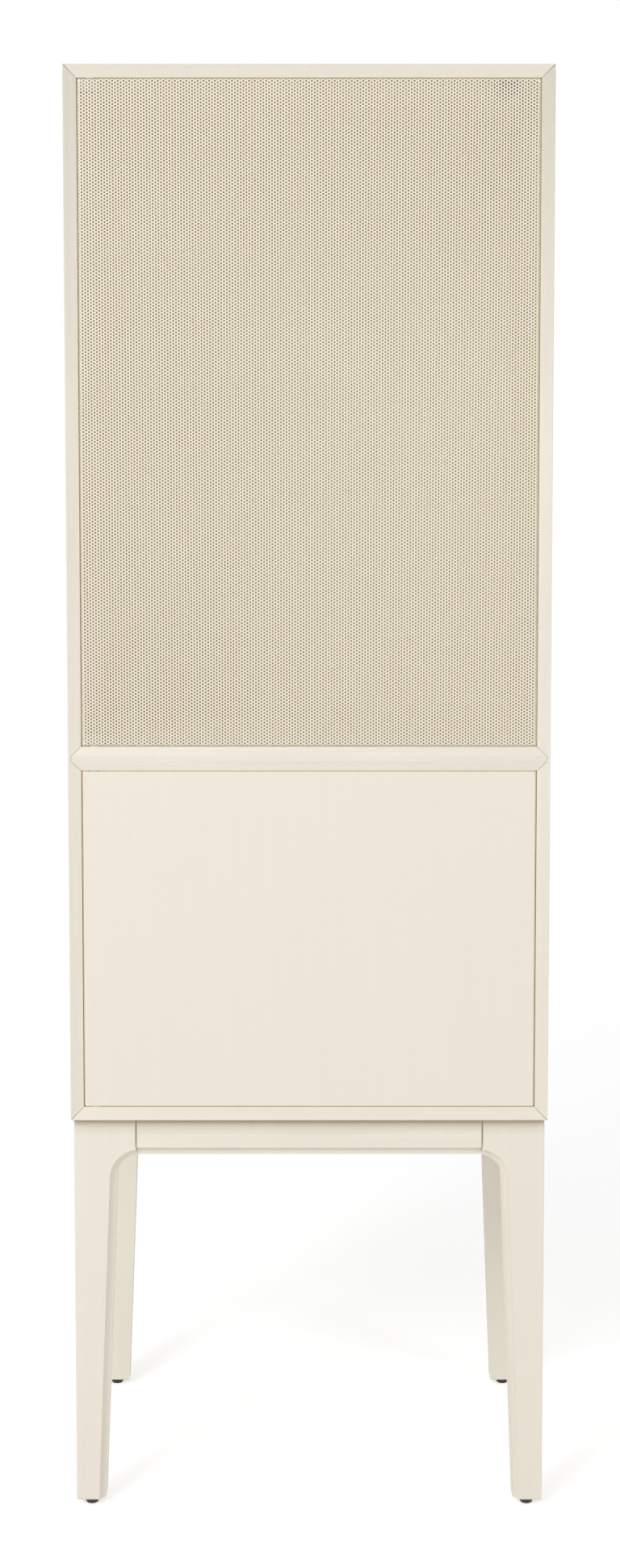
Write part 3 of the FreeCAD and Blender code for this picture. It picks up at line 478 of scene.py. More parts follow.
def bare_beech(name, axis):
    """Planed beech with no lacquer."""
    material, tree, surface = new_finish(name)
    streaks = grain(tree, axis, 3 * mm, 50 * mm, 4.0)
    flecks = spread(tree, grain(tree, axis, 0.5 * mm, 3 * mm, 1.0), 0.6, 0.7, 0, 0.5)
    colour = tint(tree, streaks, (0.62, 0.42, 0.24), (0.50, 0.31, 0.16))
    shade = tint(tree, flecks, colour, (0.36, 0.20, 0.10))
    rough = spread(tree, streaks, 0.3, 0.7, 0.60, 0.75)
    lay_on(tree, surface, shade, rough, streaks, 0.4, 0.1 * mm)
    return material


beech = bare_beech("bare_beech", "X")
dress(bare_beech("bare_beech_splines", "Y"), "corner_splines")
dress(beech, *[at + "_corner_block" for at in corners])

# %% [markdown]
# Screws, bolts, sleeves, pins and the board door's strike plate are bright steel. A metal's look
# is mostly its reflections, so the colour stays almost even and the work is in the roughness:
# fine lines from drawing and turning, and faint clouds from the plating bath.

# %% Plated steel


def plated_steel(name, axis):
    """Steel under a thin bright plating, with lines along one axis."""
    material, tree, surface = new_finish(name)
    surface.inputs["Metallic"].default_value = 1.0
    lines = grain(tree, axis, 0.3 * mm, 10 * mm, 3.0)
    clouds = grain(tree, axis, 6 * mm, 6 * mm, 3.0)
    shade = tint(tree, clouds, (0.60, 0.60, 0.61), (0.50, 0.50, 0.50))
    rough = spread(tree, lines, 0.3, 0.7, 0.24, 0.42)
    lay_on(tree, surface, shade, rough, lines, 0.3, 0.05 * mm)
    return material


steel = plated_steel("plated_steel", "Z")
dress(steel, "lower_door_strike")

# %% [markdown]
# The glides under the legs, the bushes round the pivots and the push latches are moulded
# plastic. Its skin is never mirror-smooth: the mould leaves a fine grain, the colour drifts a
# little, and the edges turn paler where they rub.

# %% Moulded plastic


def moulded(name, colour, rough):
    """Moulded plastic with a fine skin."""
    material, tree, surface = new_finish(name)
    skin = grain(tree, "X", 0.6 * mm, 0.6 * mm)
    clouds = grain(tree, "X", 10 * mm, 10 * mm, 3.0)
    shade = tint(tree, clouds, times(colour, 1.08), times(colour, 0.92))
    worn = sums(tree, "MULTIPLY", rubbed_edges(tree, 0.5 * mm), 0.5)
    shade = tint(tree, worn, shade, times(colour, 1.35))
    gloss = spread(tree, clouds, 0.3, 0.7, rough - 0.06, rough + 0.06)
    lay_on(tree, surface, shade, gloss, skin, 0.3, 0.08 * mm)
    return material


pale_plastic = moulded("pale_latch_plastic", (0.70, 0.68, 0.62), 0.5)
black_plastic = moulded("black_glide_plastic", (0.018, 0.018, 0.018), 0.5)
dress(pale_plastic, "upper_latch_housing", "lower_latch_housing")

# %% [markdown]
# The sheet door is coated with powder that melts into a smooth cream skin. Seen close, it has
# a shallow orange peel, and its gloss varies slowly over the door. The blocks and the plate that
# are fixed to the sheet's back get a darker copy of the coat, as painted shade, so that they
# don't shine through its holes.

# %% Powder coat


def powder_coat(name, colour):
    """Baked powder with a shallow orange peel."""
    material, tree, surface = new_finish(name)
    peel = grain(tree, "X", 1.2 * mm, 1.2 * mm)
    clouds = grain(tree, "X", 90 * mm, 90 * mm, 3.0)
    shade = tint(tree, spread(tree, clouds, 0.3, 0.7), times(colour, 1.012), times(colour, 0.988))
    rough = spread(tree, clouds, 0.3, 0.7, 0.34, 0.42)
    lay_on(tree, surface, shade, rough, peel, 0.25, 0.06 * mm)
    return material


coat = powder_coat("cream_powder_coat", (0.90, 0.845, 0.72))
# Painted shade: a darker copy of the coat for the pieces behind the sheet.
shaded_coat = powder_coat("beige_shaded_coat", (0.42, 0.36, 0.27))
dress(shaded_coat, "mesh_door_pivot_blocks", "mesh_door_strike")

# %% [markdown]
# Each leg has a round hollow along its inner front edge, which a router cuts in one pass: up
# the taper, round the arch and into the apron. The solids follow the arch in six straight cuts,
# and small fins stay between them. A Bevel modifier can't make a hollow that fades out, so the
# cut is made again as the router makes it: a tube swept along the leg's outline, a tenth of a
# millimetre larger than the old cut, is taken away from a copy of the leg.

# %% The router's path round the arch
arch_centre = (-214.27 * mm, 427.84 * mm)
arch_radius = 29.5 * mm
hollow_radius = 8.4 * mm
foot_inside = (-260.25 * mm, 8 * mm)
seam_foot = (-218.75 * mm, 457 * mm)


def on_circle(radius, angle, middle=(0, 0)):
    """The point of a circle at an angle, as a pair."""
    return (middle[0] + radius * math.cos(angle), middle[1] + radius * math.sin(angle))


def direction(start, end):
    """The angle at which one pair lies from another."""
    return math.atan2(end[1] - start[1], end[0] - start[0])


def arch_path(steps=20):
    """Points of a left leg's inner outline, from below the foot to beyond the seam, as (x, z)."""
    seam = direction(arch_centre, seam_foot)
    down = direction(arch_centre, foot_inside) % (2 * math.pi)
    touch = down - math.acos(arch_radius / math.dist(arch_centre, foot_inside))
    angles = [touch + (seam - touch) * step / steps for step in range(steps + 1)]
    arch = [Vector(on_circle(arch_radius, angle, arch_centre)) for angle in angles]
    foot = Vector(foot_inside)
    below = foot + (foot - arch[0]).normalized() * 5 * mm
    beyond = arch[-1] + (arch[-1] - arch[-2]).normalized() * 12 * mm
    return [below] + arch + [beyond]


print("arch from", [round(value / mm, 1) for value in arch_path()[1]], "to the seam")

# %% Cut the hollows afresh
router_sides = 48
weld_distance = 0.5e-6


def ring_faces(low, high, count):
    """The faces from the ring of points that starts at low to the one that starts at high."""
    steps = [(side, (side + 1) % count) for side in range(count)]
    return [(low + side, low + after, high + after, high + side) for side, after in steps]


def end_faces(low, high, count):
    """The two faces that close a tube at its first ring and at its last."""
    return [tuple(reversed(range(low, low + count))), tuple(range(high, high + count))]


def router_cut(front, mirror):
    """A closed tube along the path, in the plane of the leg's face."""
    path = arch_path()
    points, faces, count = [], [], router_sides
    for number, place in enumerate(path):
        before = (place - path[max(number - 1, 0)]).normalized()
        after = (path[min(number + 1, len(path) - 1)] - place).normalized()
        run = (before + after).normalized()
        stretch = 1 / max(run.dot(after if number == 0 else before), 0.5)
        for side in range(count):
            across, outwards = on_circle(hollow_radius, 2 * math.pi * side / count)
            across *= stretch
            x, z = place.x - run.y * across, place.y + run.x * across
            points.append((mirror * x, front + outwards, z))
    for ring in range(0, len(points) - count, count):
        faces += ring_faces(ring, ring + count, count)
    return points, faces + end_faces(0, len(points) - count, count)


def clean_mesh(name, points, faces, joined=True):
    """A mesh with its faces looking outwards and, where asked, its points joined."""
    mesh = bpy.data.meshes.new(name)
    mesh.from_pydata(points, [], faces)
    work = bmesh.new()
    work.from_mesh(mesh)
    if joined:
        bmesh.ops.remove_doubles(work, verts=work.verts, dist=weld_distance)
    bmesh.ops.recalc_face_normals(work, faces=work.faces)
    work.to_mesh(mesh)
    work.free()
    return mesh


print("the cutter is", 2 * hollow_radius / mm, "mm wide")

# %% Four coved legs


def coved_leg(at):
    """The leg at one corner, with its hollow cut in one pass."""
    name, solid = at + "_coved_leg", solids[at + "_leg"].data
    points = [point.co for point in solid.vertices]
    faces = [tuple(face.vertices) for face in solid.polygons]
    leg = bpy.data.objects.new(name, clean_mesh(name, points, faces))
    low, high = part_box(at + "_leg")
    tube = router_cut(low.y if "front" in at else high.y, 1 if "left" in at else -1)
    cutter = bpy.data.objects.new("router", clean_mesh("router", *tube))
    for made in (leg, cutter):
        scene.collection.objects.link(made)
    cut = leg.modifiers.new("hollow", "BOOLEAN")
    cut.operation, cut.solver, cut.object = "DIFFERENCE", "EXACT", cutter
    shown = leg.evaluated_get(bpy.context.evaluated_depsgraph_get())
    whole = bpy.data.meshes.new_from_object(shown)
    leg.modifiers.remove(cut)
    leg.data = whole
    bpy.data.objects.remove(cutter)
    whole.shade_smooth()
    whole.set_sharp_from_angle(angle=math.radians(25))
    whole.materials.clear()
    whole.materials.append(cream_legs)
    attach(leg, "cabinet")
    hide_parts(at + "_leg")
    print(leg.name, len(solid.polygons), "faces before and", len(whole.polygons), "after")


for at in corners:
    coved_leg(at)

# %% [markdown]
# Now the pieces with a finer form. Pins, bushes, dowels, screws, bolts, plungers and glides are
# all turned: a profile spun about an axis. A cylinder primitive would give them no chamfers,
# threads or flanges, and a Screw modifier would hide the profile in settings. A short function
# that lays one ring of points for each step of the profile shows the shape as a maker would
# draw it, and can also press a thread or flutes into the surface.

# %% Turn a profile


def turned(profile, sides, carve=None, bored=False):
    """Points and faces of a profile of (radius, height) pairs turned about Z, from its foot up."""
    points, faces = [], []
    for radius, height in profile:
        for side in range(sides):
            angle = 2 * math.pi * side / sides
            scale = carve(angle, height) if carve else 1.0
            points.append((*on_circle(radius * scale, angle), height))
    steps = [step * sides for step in range(len(profile))]
    for low, high in zip(steps, steps[1:] + steps[:1] * bored):
        faces += ring_faces(low, high, sides)
    if not bored:
        faces += end_faces(0, steps[-1], sides)
    return points, faces


def rounded_rim(radius, height, size, turns=4):
    """The steps of a rounded outer rim at the top of a profile."""
    angles = [math.pi / 2 * step / turns for step in range(turns + 1)]
    return [on_circle(size, angle, (radius - size, height - size)) for angle in angles]


print("a turned rim has", len(rounded_rim(1, 1, 0.1)), "steps")

# %% [markdown]
# A screw needs a recess for the driver, and the sheet door needs thousands of holes. Both are
# the same task: join a border to the outline inside it with triangles. Sorting both outlines
# by their angle about the middle and walking round them together does it for any two outlines
# that the middle can see, with no boolean and no stray points.

# %% Fill between a border and an outline


def by_angle(outline, middle):
    """The points in order of their angle about the middle, and those angles."""
    found = sorted((math.atan2(v - middle[1], u - middle[0]), (u, v)) for u, v in outline)
    return [point for angle, point in found], [angle for angle, point in found]


def between(border, outline, middle):
    """Triangles that fill the space between a border and the outline inside it."""
    outer, outer_at = by_angle(border, middle)
    inner, inner_at = by_angle(outline, middle)
    outer_at.append(outer_at[0] + 2 * math.pi)
    inner_at.append(inner_at[0] + 2 * math.pi)
    i, j, triangles = 0, 0, []
    while i < len(outer) or j < len(inner):
        here, there = outer[i % len(outer)], inner[j % len(inner)]
        if j == len(inner) or (i < len(outer) and outer_at[i + 1] <= inner_at[j + 1]):
            i += 1
            triangles.append((here, outer[i % len(outer)], there))
        else:
            j += 1
            triangles.append((here, inner[j % len(inner)], there))
    return triangles


wide, narrow = ([(-n, -n), (n, -n), (n, n), (-n, n)] for n in (2, 1))
print("a square in a square takes", len(between(wide, narrow, (0, 0))), "triangles")

# %% Sink a driver's recess


def recessed(shape, sides, outline, depth):
    """Sinks a recess with this outline into the top face of a turned shape."""
    points, faces = list(shape[0]), list(shape[1])[:-1]
    rim = points[-sides:]
    height = rim[0][2]
    start, count = len(points), len(outline)
    points += [(x, y, height) for x, y in outline]
    points += [(0.75 * x, 0.75 * y, height - depth) for x, y in outline]
    number = {points[index][:2]: index for index in range(start - sides, start + count)}
    for triangle in between([point[:2] for point in rim], outline, (0.0, 0.0)):
        faces.append(tuple(number[point] for point in triangle))
    faces += ring_faces(start, start + count, count)
    faces.append(tuple(range(start + count, start + 2 * count)))
    return points, faces


def cross(arm, half):
    """The outline of a cross recess."""
    outline = [(arm, -half), (arm, half), (half, half)]
    for quarter in range(3):
        outline += [(-y, x) for x, y in outline[-3:]]
    return outline


def hexagon(radius):
    """The outline of a hexagon socket."""
    return [on_circle(radius, math.pi * corner / 3) for corner in range(6)]


print("cross recess,", len(cross(2, 0.4)), "points")

# %% [markdown]
# One solid in the frame can hold several loose bodies, such as all the screws of the back. To
# set a finer shape in the place of each, we need to know where each starts, which way it points
# and how long it is. Walking the mesh from point to point along its edges finds the bodies, and
# the end that reaches wider is the head.

# %% Find the loose bodies in a solid


def loose_bodies(node):
    """The points of each separate body in a solid, in the order of the mesh."""
    copy = bmesh.new()
    copy.from_mesh(solids[node].data)
    bmesh.ops.remove_doubles(copy, verts=copy.verts, dist=tiny)
    seen_points, bodies = set(), []
    for first in list(copy.verts):
        if first in seen_points:
            continue
        seen_points.add(first)
        found = [first]
        for point in found:
            for edge in point.link_edges:
                other = edge.other_vert(point)
                if other not in seen_points:
                    seen_points.add(other)
                    found.append(other)
        bodies.append(np.array([point.co for point in found]))
    copy.free()
    return bodies


def foot_and_head(points, axis=None):
    """The middle of the narrow end and of the wide end of a body."""
    low, high = points.min(axis=0), points.max(axis=0)
    along = int(np.argmax(high - low)) if axis is None else "XYZ".index(axis)
    middle = (low + high) / 2
    reaches, ends = [], []
    for level in (low[along], high[along]):
        at_end = points[abs(points[:, along] - level) < tiny] - middle
        at_end[:, along] = 0
        reaches.append(round(float(np.linalg.norm(at_end, axis=1).max()) / mm, 2))
        end = middle.copy()
        end[along] = level
        ends.append(Vector(end))
    return ends if reaches[1] >= reaches[0] else ends[::-1]


print(len(loose_bodies("back_panel_screws")), "screws in the back")

# %% Set a shape in the place of each body


def set_in_place(name, node, shape, finish, body, axis=None):
    """A finer piece in the place of a solid: shape(length) is turned from foot to head."""
    points, faces = [], []
    for loose in loose_bodies(node):
        foot, head = foot_and_head(loose, axis)
        turn = Vector((0, 0, 1)).rotation_difference(head - foot)
        own_points, own_faces = shape((head - foot).length)
        faces += [tuple(len(points) + number for number in face) for face in own_faces]
        points += [foot + turn @ Vector(point) for point in own_points]
    mesh = bpy.data.meshes.new(name)
    mesh.from_pydata(points, [], faces)
    mesh.shade_smooth()
    mesh.set_sharp_from_angle(angle=math.radians(32))
    mesh.materials.append(finish)
    piece = bpy.data.objects.new(name, mesh)
    scene.collection.objects.link(piece)
    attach(piece, body)
    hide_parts(node)
    print(name, len(faces), "faces")


print("pieces are set by their foot and their head")

# %% [markdown]
# The glides are the first turned pieces: a black foot that the leg stands on, 18 mm wide and a
# little narrower at the floor, with a rounded lower rim and a pin that is driven into the leg.
# Read the profile from the tip of the pin to the sole.

# %% Glides under the legs
glide_sides = 64


def glide(length):
    """A turned foot on a pin, from the tip of the pin to the sole."""
    top = length - 8 * mm
    pin = [(1.2 * mm, 0), (2.5 * mm, 2 * mm), (2.5 * mm, top)]
    skirt = [(8.7 * mm, top), (9.0 * mm, top + 0.3 * mm), (8.15 * mm, length - 1.6 * mm)]
    sole = rounded_rim(8.1 * mm, length, 1.4 * mm, 6)
    dimple = [(3.2 * mm, length), (2.6 * mm, length - 0.6 * mm)]
    return turned(pin + skirt + sole + dimple, glide_sides)


for at in corners:
    set_in_place(at + "_turned_glide", at + "_glide", glide, black_plastic,
                 "cabinet", "Z")

# %% [markdown]
# Wood screws have a tapering point, a thread, a countersunk head and a cross recess. The thread
# isn't drawn as a separate coil: the radius simply rises and falls as a saw-tooth that climbs
# by one pitch for each turn, which gives a closed mesh with clean normals.

# %% Thread and screws
screw_sides = 20
screw_pitch = 1.6 * mm


def thread(pitch, deep, start, end):
    """How far a threaded surface is pressed in at an angle and a height."""
    def carve(angle, height):
        if not start < height < end:
            return 1.0
        climb = (height / pitch - angle / (2 * math.pi)) % 1.0
        return 1.0 - deep * min(abs(climb - 0.5) * 2.6, 1.0)
    return carve


def threaded_steps(radius, start, end, pitch):
    """Profile steps close enough together to show a thread."""
    count = round((end - start) / (pitch / 5))
    return [(radius, start + (end - start) * step / count) for step in range(count + 1)]


def wood_screw(length):
    """A countersunk screw, from its point to the face of its head."""
    radius, head = 1.75 * mm, 3.5 * mm
    neck = length - 1.8 * mm
    point = [(max(share * radius, 0.2 * mm), share * 3 * mm) for share in (0, 0.2, 0.4, 0.6, 0.8)]
    shank = threaded_steps(radius, 3 * mm, neck - 1.5 * mm, screw_pitch) + [(radius, neck)]
    face = [(head, length - 0.15 * mm), (head - 0.15 * mm, length)]
    cut = thread(screw_pitch, 0.26, 0.4 * mm, neck - 1.5 * mm)
    body = turned(point + shank + face, screw_sides, cut)
    return recessed(body, screw_sides, cross(2.0 * mm, 0.4 * mm), 1.2 * mm)


for place in ("back_panel", "latch", "corner_block"):
    set_in_place(place + "_cross_screws", place + "_screws", wood_screw, steel,
                 "cabinet")
set_in_place("strike_cross_screws", "lower_door_strike_screws", wood_screw, steel,
             "lower_door")

# %% [markdown]
# Four bolts hold the leg frame to the box. They have the cap head and the hexagon socket of a
# furniture bolt and a finer machine thread, which turns in the steel sleeve that is set in the
# box's bottom. The sleeve is bored, so its profile is a closed loop round the hole.

# %% Bolts and their threaded sleeves
bolt_sides = 32
bolt_pitch = 1.0 * mm


def cap_bolt(length):
    """A socket-head bolt, from the end of its thread to the face of its head."""
    radius, head, neck = 3.0 * mm, 5.0 * mm, length - 4 * mm
    end = [(2.3 * mm, 0), (radius, 0.8 * mm)]
    shank = threaded_steps(radius, 1 * mm, 20 * mm, bolt_pitch) + [(radius, neck)]
    cap = [(head, neck)] + rounded_rim(head, length, 0.5 * mm)
    body = turned(end + shank + cap, bolt_sides, thread(bolt_pitch, 0.10, 0.9 * mm, 20 * mm))
    return recessed(body, bolt_sides, hexagon(2.5 * mm), 2.4 * mm)


def sleeve(length):
    """A threaded sleeve: up its outside, over its rim and down its bore."""
    rim = length - 0.3 * mm
    outside = [(4.8 * mm, 0), (5.0 * mm, 0.3 * mm), (5.0 * mm, rim), (4.8 * mm, length)]
    bore = [(3.3 * mm, length), (3.05 * mm, rim), (3.05 * mm, 0.3 * mm), (3.3 * mm, 0)]
    return turned(outside + bore, bolt_sides, bored=True)


set_in_place("frame_cap_bolts", "frame_bolts", cap_bolt, steel, "cabinet")
set_in_place("threaded_sleeves", "threaded_inserts", sleeve, steel, "cabinet", "Z")

# %% [markdown]
# Each door turns on two steel pins in plastic bushes. The pins are plain rods with eased ends,
# and the bushes are short sleeves with a flange that carries the door's weight and keeps it off
# the board. The shelf stands on four pins of its own.

# %% Pins and bushes
pin_sides = 40


def eased_rod(radius, ease):
    """A rod with eased ends."""
    def rod(length):
        foot = [(radius - ease, 0), (radius, ease)]
        head = [(radius, length - ease), (radius - ease, length)]
        return turned(foot + head, pin_sides)
    return rod


def flanged_bush(length):
    """A bush: up its sleeve, out over its flange and down its bore."""
    flange = length - 0.9 * mm
    sleeve_side = [(4.7 * mm, 0), (5.0 * mm, 0.4 * mm), (5.0 * mm, flange), (6.5 * mm, flange)]
    rim = [(6.5 * mm, length - 0.2 * mm), (6.3 * mm, length)]
    bore = [(3.35 * mm, length), (3.05 * mm, length - 0.3 * mm), (3.05 * mm, 0)]
    return turned(sleeve_side + rim + bore, pin_sides, bored=True)


pivot_pin = eased_rod(3 * mm, 0.6 * mm)
shelf_pin = eased_rod(2.5 * mm, 0.5 * mm)
set_in_place("sheet_door_turned_pins", "mesh_door_pivot_pins", pivot_pin, steel,
             "mesh_door")
set_in_place("board_door_turned_pins", "lower_door_pivot_pins", pivot_pin, steel,
             "lower_door")
set_in_place("shelf_turned_pins", "shelf_pins", shelf_pin, steel, "cabinet")
set_in_place("flanged_bushes", "pivot_bushes", flanged_bush, pale_plastic,
             "cabinet", "Z")

# %% [markdown]
# The push latches hold a spring plunger each. It is a round rod with a domed tip, so that the
# door can slide on it as it swings away. The dome comes from the same rounded rim as before.

# %% Latch plungers


def plunger(length):
    """A plunger, from its domed tip to its end."""
    rim = rounded_rim(4.5 * mm, length, 1.0 * mm, 6)
    tip = [(1.0 * mm, 0)] + [(radius, length - height) for radius, height in reversed(rim)]
    end = [(4.5 * mm, length - 0.4 * mm), (4.1 * mm, length)]
    return turned(tip + end, pin_sides)


for place in ("upper", "lower"):
    set_in_place(place + "_domed_plunger", place + "_latch_plunger", plunger, pale_plastic,
                 place + "_plunger")

# %% [markdown]
# Dowels are fluted so that glue and air can escape as they are driven home. The flutes are the
# carving again, this time as waves round the rod instead of a climb along it.

# %% Fluted dowels
flutes = 18


def fluted_dowel(length):
    """A dowel with flutes and chamfered ends."""
    def carve(angle, height):
        return 1.0 - 0.05 * (0.5 + 0.5 * math.cos(flutes * angle)) ** 3
    ends = [(3.2 * mm, 0), (4.0 * mm, 1.2 * mm), (4.0 * mm, length - 1.2 * mm), (3.2 * mm, length)]
    return turned(ends, 6 * flutes, carve)


for place in ("divider", "rail", "leg_frame"):
    set_in_place(place + "_fluted_dowels", place + "_dowels", fluted_dowel, beech,
                 "cabinet")

# %% [markdown]
# The upper door is the cabinet's most skilful piece: one sheet of steel, punched with some
# 35,000 holes on a triangular pitch of 4 mm, then folded back on all four sides. Holes run
# right over the long folds and onto the returns. A texture with transparent dots would have no
# thickness and no walls in its holes, and a boolean with 35,000 cutters would never finish. So
# we punch the sheet flat, as the factory does: every hole sits in its own cell, the cells are
# joined, and the whole pattern is folded afterwards by moving its points.

# %% Sizes of the punched sheet
low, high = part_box("mesh_door_sheet")
half_width = (high.x - low.x) / 2
half_height = (high.z - low.z) / 2
middle_x = (high.x + low.x) / 2
middle_z = (high.z + low.z) / 2
depth = high.y - low.y
gauge = 1.0 * mm
bend = 1.8 * mm
hole_radius = 1.35 * mm
hole_sides = 10
row = 4.0 * mm
half_row = row / 2
arc = bend * math.pi / 2
flat_u = half_width - bend
flat_v = half_height - bend
fold_column = round((flat_u + arc / 2) / (row * math.cos(math.radians(30))))
column = (flat_u + arc / 2) / fold_column
end_u = flat_u + arc + depth - bend
end_v = flat_v + arc + depth - bend
print("the fold is column", fold_column, "and columns are", round(column / mm, 4), "mm apart")

# %% [markdown]
# Cells need shared points along their borders, or the sheet would have cracks. So we first
# choose the levels at which points may lie: half a row apart everywhere, and closer where the
# sheet bends, so that the fold comes out round.

# %% Levels across the unfolded sheet
bend_steps = 5


def half_rows(first, last):
    """The half-row levels between two values, both left out."""
    levels = range(math.ceil((first + tiny) / half_row), math.floor((last - tiny) / half_row) + 1)
    return [level * half_row for level in levels]


fold_steps = [arc * step / bend_steps for step in range(bend_steps + 1)]
fold_steps = sorted(fold_steps + [level - flat_v for level in half_rows(flat_v, flat_v + arc)])
upper_levels = half_rows(0, flat_v) + [flat_v + step for step in fold_steps]
upper_levels += half_rows(flat_v + arc, end_v) + [end_v]
levels_v = [-level for level in reversed(upper_levels)] + [0.0] + upper_levels


def mitre(distance, flat):
    """How far a return reaches past the flat part at the mitred corner of a fold."""
    return bend * math.sin(min(max(distance - flat, 0) / bend, math.pi / 2))


print(len(levels_v), "levels")

# %% One hole, and the store for all triangles
hole_angles = [2 * math.pi * (side + 0.5) / hole_sides for side in range(hole_sides)]
corner_lists, middle_lists, return_list = [], [], []
plain_cells = {0: [], 1: []}
no_middle = (math.nan, math.nan)


def store(triangles, middle, rim, on_return):
    """Keeps triangles, with the middle of the hole for each point on its rim."""
    for triangle in triangles:
        corner_lists.append(triangle)
        middle_lists.append([middle if point in rim else no_middle for point in triangle])
        return_list.append(on_return)


def punch(border, middle, on_return):
    """Punches one hole in the cell inside a border."""
    rim = [on_circle(hole_radius, angle, middle) for angle in hole_angles]
    store(between(border, rim, middle), middle, set(rim), on_return)


def blank(lines, on_return):
    """Keeps the unpunched metal between lines of points that run to the right, lowest first."""
    triangles = []
    for lower, upper in zip(lines, lines[1:]):
        for a, b, c, d in zip(lower, lower[1:], upper[1:], upper):
            triangles += [(a, b, c), (a, c, d)]
    store(triangles, (0, 0), set(), on_return)


print("each hole has", hole_sides, "sides")

# %% One upright column of holes


def punch_column(k, across, reach_of, levels, on_return):
    """A column of cells, with plain metal where a hole would meet either end."""
    shift = half_row * (k % 2)
    shortest = min(reach_of(u) for u in across)
    first = math.ceil((-shortest + half_row - shift) / row)
    last = math.floor((shortest - half_row - shift) / row)
    for n in range(first, last + 1):
        middle = (k * column, n * row + shift)
        inside = [v for v in levels if abs(v - middle[1]) < half_row + tiny]
        if len(across) == 2 and len(inside) == 3:
            plain_cells[on_return].append(middle)
            continue
        border = [(u, middle[1] + way * half_row) for u in across for way in (-1, 1)]
        border += [(u, v) for u in (across[0], across[-1]) for v in inside[1:-1]]
        punch(border, middle, on_return)
    for way, edge in ((1, last * row + shift + half_row), (-1, half_row - first * row - shift)):
        plain = [v for v in levels if edge - tiny < v * way < shortest - tiny]
        rest = [[(u, v) for u in across] for v in plain]
        end = [[(u, way * reach_of(u)) for u in across]]
        blank(rest + end if way > 0 else end + rest, on_return)


for k in range(1 - fold_column, fold_column):
    punch_column(k, [(k - 0.5) * column, (k + 0.5) * column], lambda u: end_v, levels_v, 0)
print(2 * fold_column - 1, "columns on the front")

# %% The long folds and the returns
seam_u = (fold_column - 0.5) * column
for way in (-1, 1):
    for side in (-1, 1):
        levels = [v for v in levels_v if v * way > flat_v - tiny]
        ends = [side * (flat_u + mitre(abs(v), flat_v)) for v in levels]
        blank([sorted([(side * seam_u, v), (end, v)]) for v, end in zip(levels, ends)], 0)
last_column = math.floor((end_u - column) / column)
return_levels = [v for v in levels_v if abs(v) < flat_v - tiny]
for k in range(fold_column, last_column + 1):
    start, end = (k - 0.5) * column, (k + 0.5) * column
    bends = [flat_u + step for step in fold_steps if start + tiny < flat_u + step < end - tiny]
    across = [start, *bends, end]
    punch_column(k, across, lambda u: flat_v + mitre(u, flat_u), return_levels, 1)
rim_levels = [-half_height] + return_levels + [half_height]
blank([[((last_column + 0.5) * column, v), (end_u, v)] for v in rim_levels], 1)
print(last_column - fold_column + 1, "columns on each fold and return")

# %% [markdown]
# Most cells are alike, so only one of them is worked out with Python's own numbers. numpy lays
# it at every other middle in one step, and mirrors the right return to make the left one.

# %% Repeat the plain cell and mirror the return
cell_border = [(u, v) for u in (-column / 2, column / 2) for v in (-half_row, 0, half_row)]
cell_rim = [on_circle(hole_radius, angle) for angle in hole_angles]
cell = np.array(between(cell_border, cell_rim, (0, 0)))
on_rim = np.linalg.norm(cell, axis=2) < hole_radius + tiny
cell_middle = np.where(on_rim[..., None], 0.0, math.nan) * np.ones(2)


def repeated(pattern, middles):
    """The pattern laid at each middle."""
    return (pattern[None] + np.array(middles)[:, None, None, :]).reshape(-1, 3, 2)


special, special_middles = np.array(corner_lists), np.array(middle_lists)
belong = np.array(return_list)
parts = []
for on_return in (0, 1):
    own, middles = belong == on_return, plain_cells[on_return]
    corners_of = np.concatenate([special[own], repeated(cell, middles)])
    middles_of = np.concatenate([special_middles[own], repeated(cell_middle, middles)])
    parts.append((corners_of, middles_of))
front, right = parts
left = tuple(array[:, ::-1] * (-1, 1) for array in right)
flat_sheet = np.concatenate([front[0], right[0], left[0]])
hole_middles = np.concatenate([front[1], right[1], left[1]])
on_sides = np.repeat([0, 1], [len(front[0]), 2 * len(right[0])])
print(len(flat_sheet), "triangles on the unfolded face")

# %% [markdown]
# Folding moves each point round the bend by the length of sheet that lies behind it. The inner
# face follows a smaller circle, so at the mitred corners it also steps in by the gauge.

# %% Fold the sheet


def fold(places, on_side, inwards):
    """Folded places, in metres, of points on the flat sheet, some way into its thickness."""
    along = np.where(on_side[..., None] == 1, places, places[..., ::-1])
    over = np.maximum(np.abs(along[..., 0]) - np.array([flat_v, flat_u])[on_side], 0)
    angle = np.minimum(over / bend, math.pi / 2)
    straight = np.abs(along[..., 0]) - over
    bent = np.sign(along[..., 0]) * (straight + (bend - inwards) * np.sin(angle))
    deep = bend - (bend - inwards) * np.cos(angle) + np.maximum(over - arc, 0)
    spare = np.maximum(np.abs(along[..., 1]) - np.array([flat_u, flat_v])[on_side], 0)
    level = np.sign(along[..., 1]) * (np.abs(along[..., 1]) - spare * inwards / bend)
    x = np.where(on_side == 1, bent, level)
    z = np.where(on_side == 1, level, bent)
    return np.stack([x + middle_x, low.y + deep, z + middle_z], axis=-1)


print("bend radius", bend / mm, "mm outside and", round((bend - gauge) / mm, 2), "mm inside")

# %% [markdown]
# Almost two million triangles are too many for one mesh, so the sheet is made in ten bands that
# meet edge to edge. In each band the outer face is welded, copied to the inner face, and the
# open sides of both are joined by walls: the rims of the holes and the edges of the sheet.

# %% Weld a band and find its open sides
weld_steps = 1e7


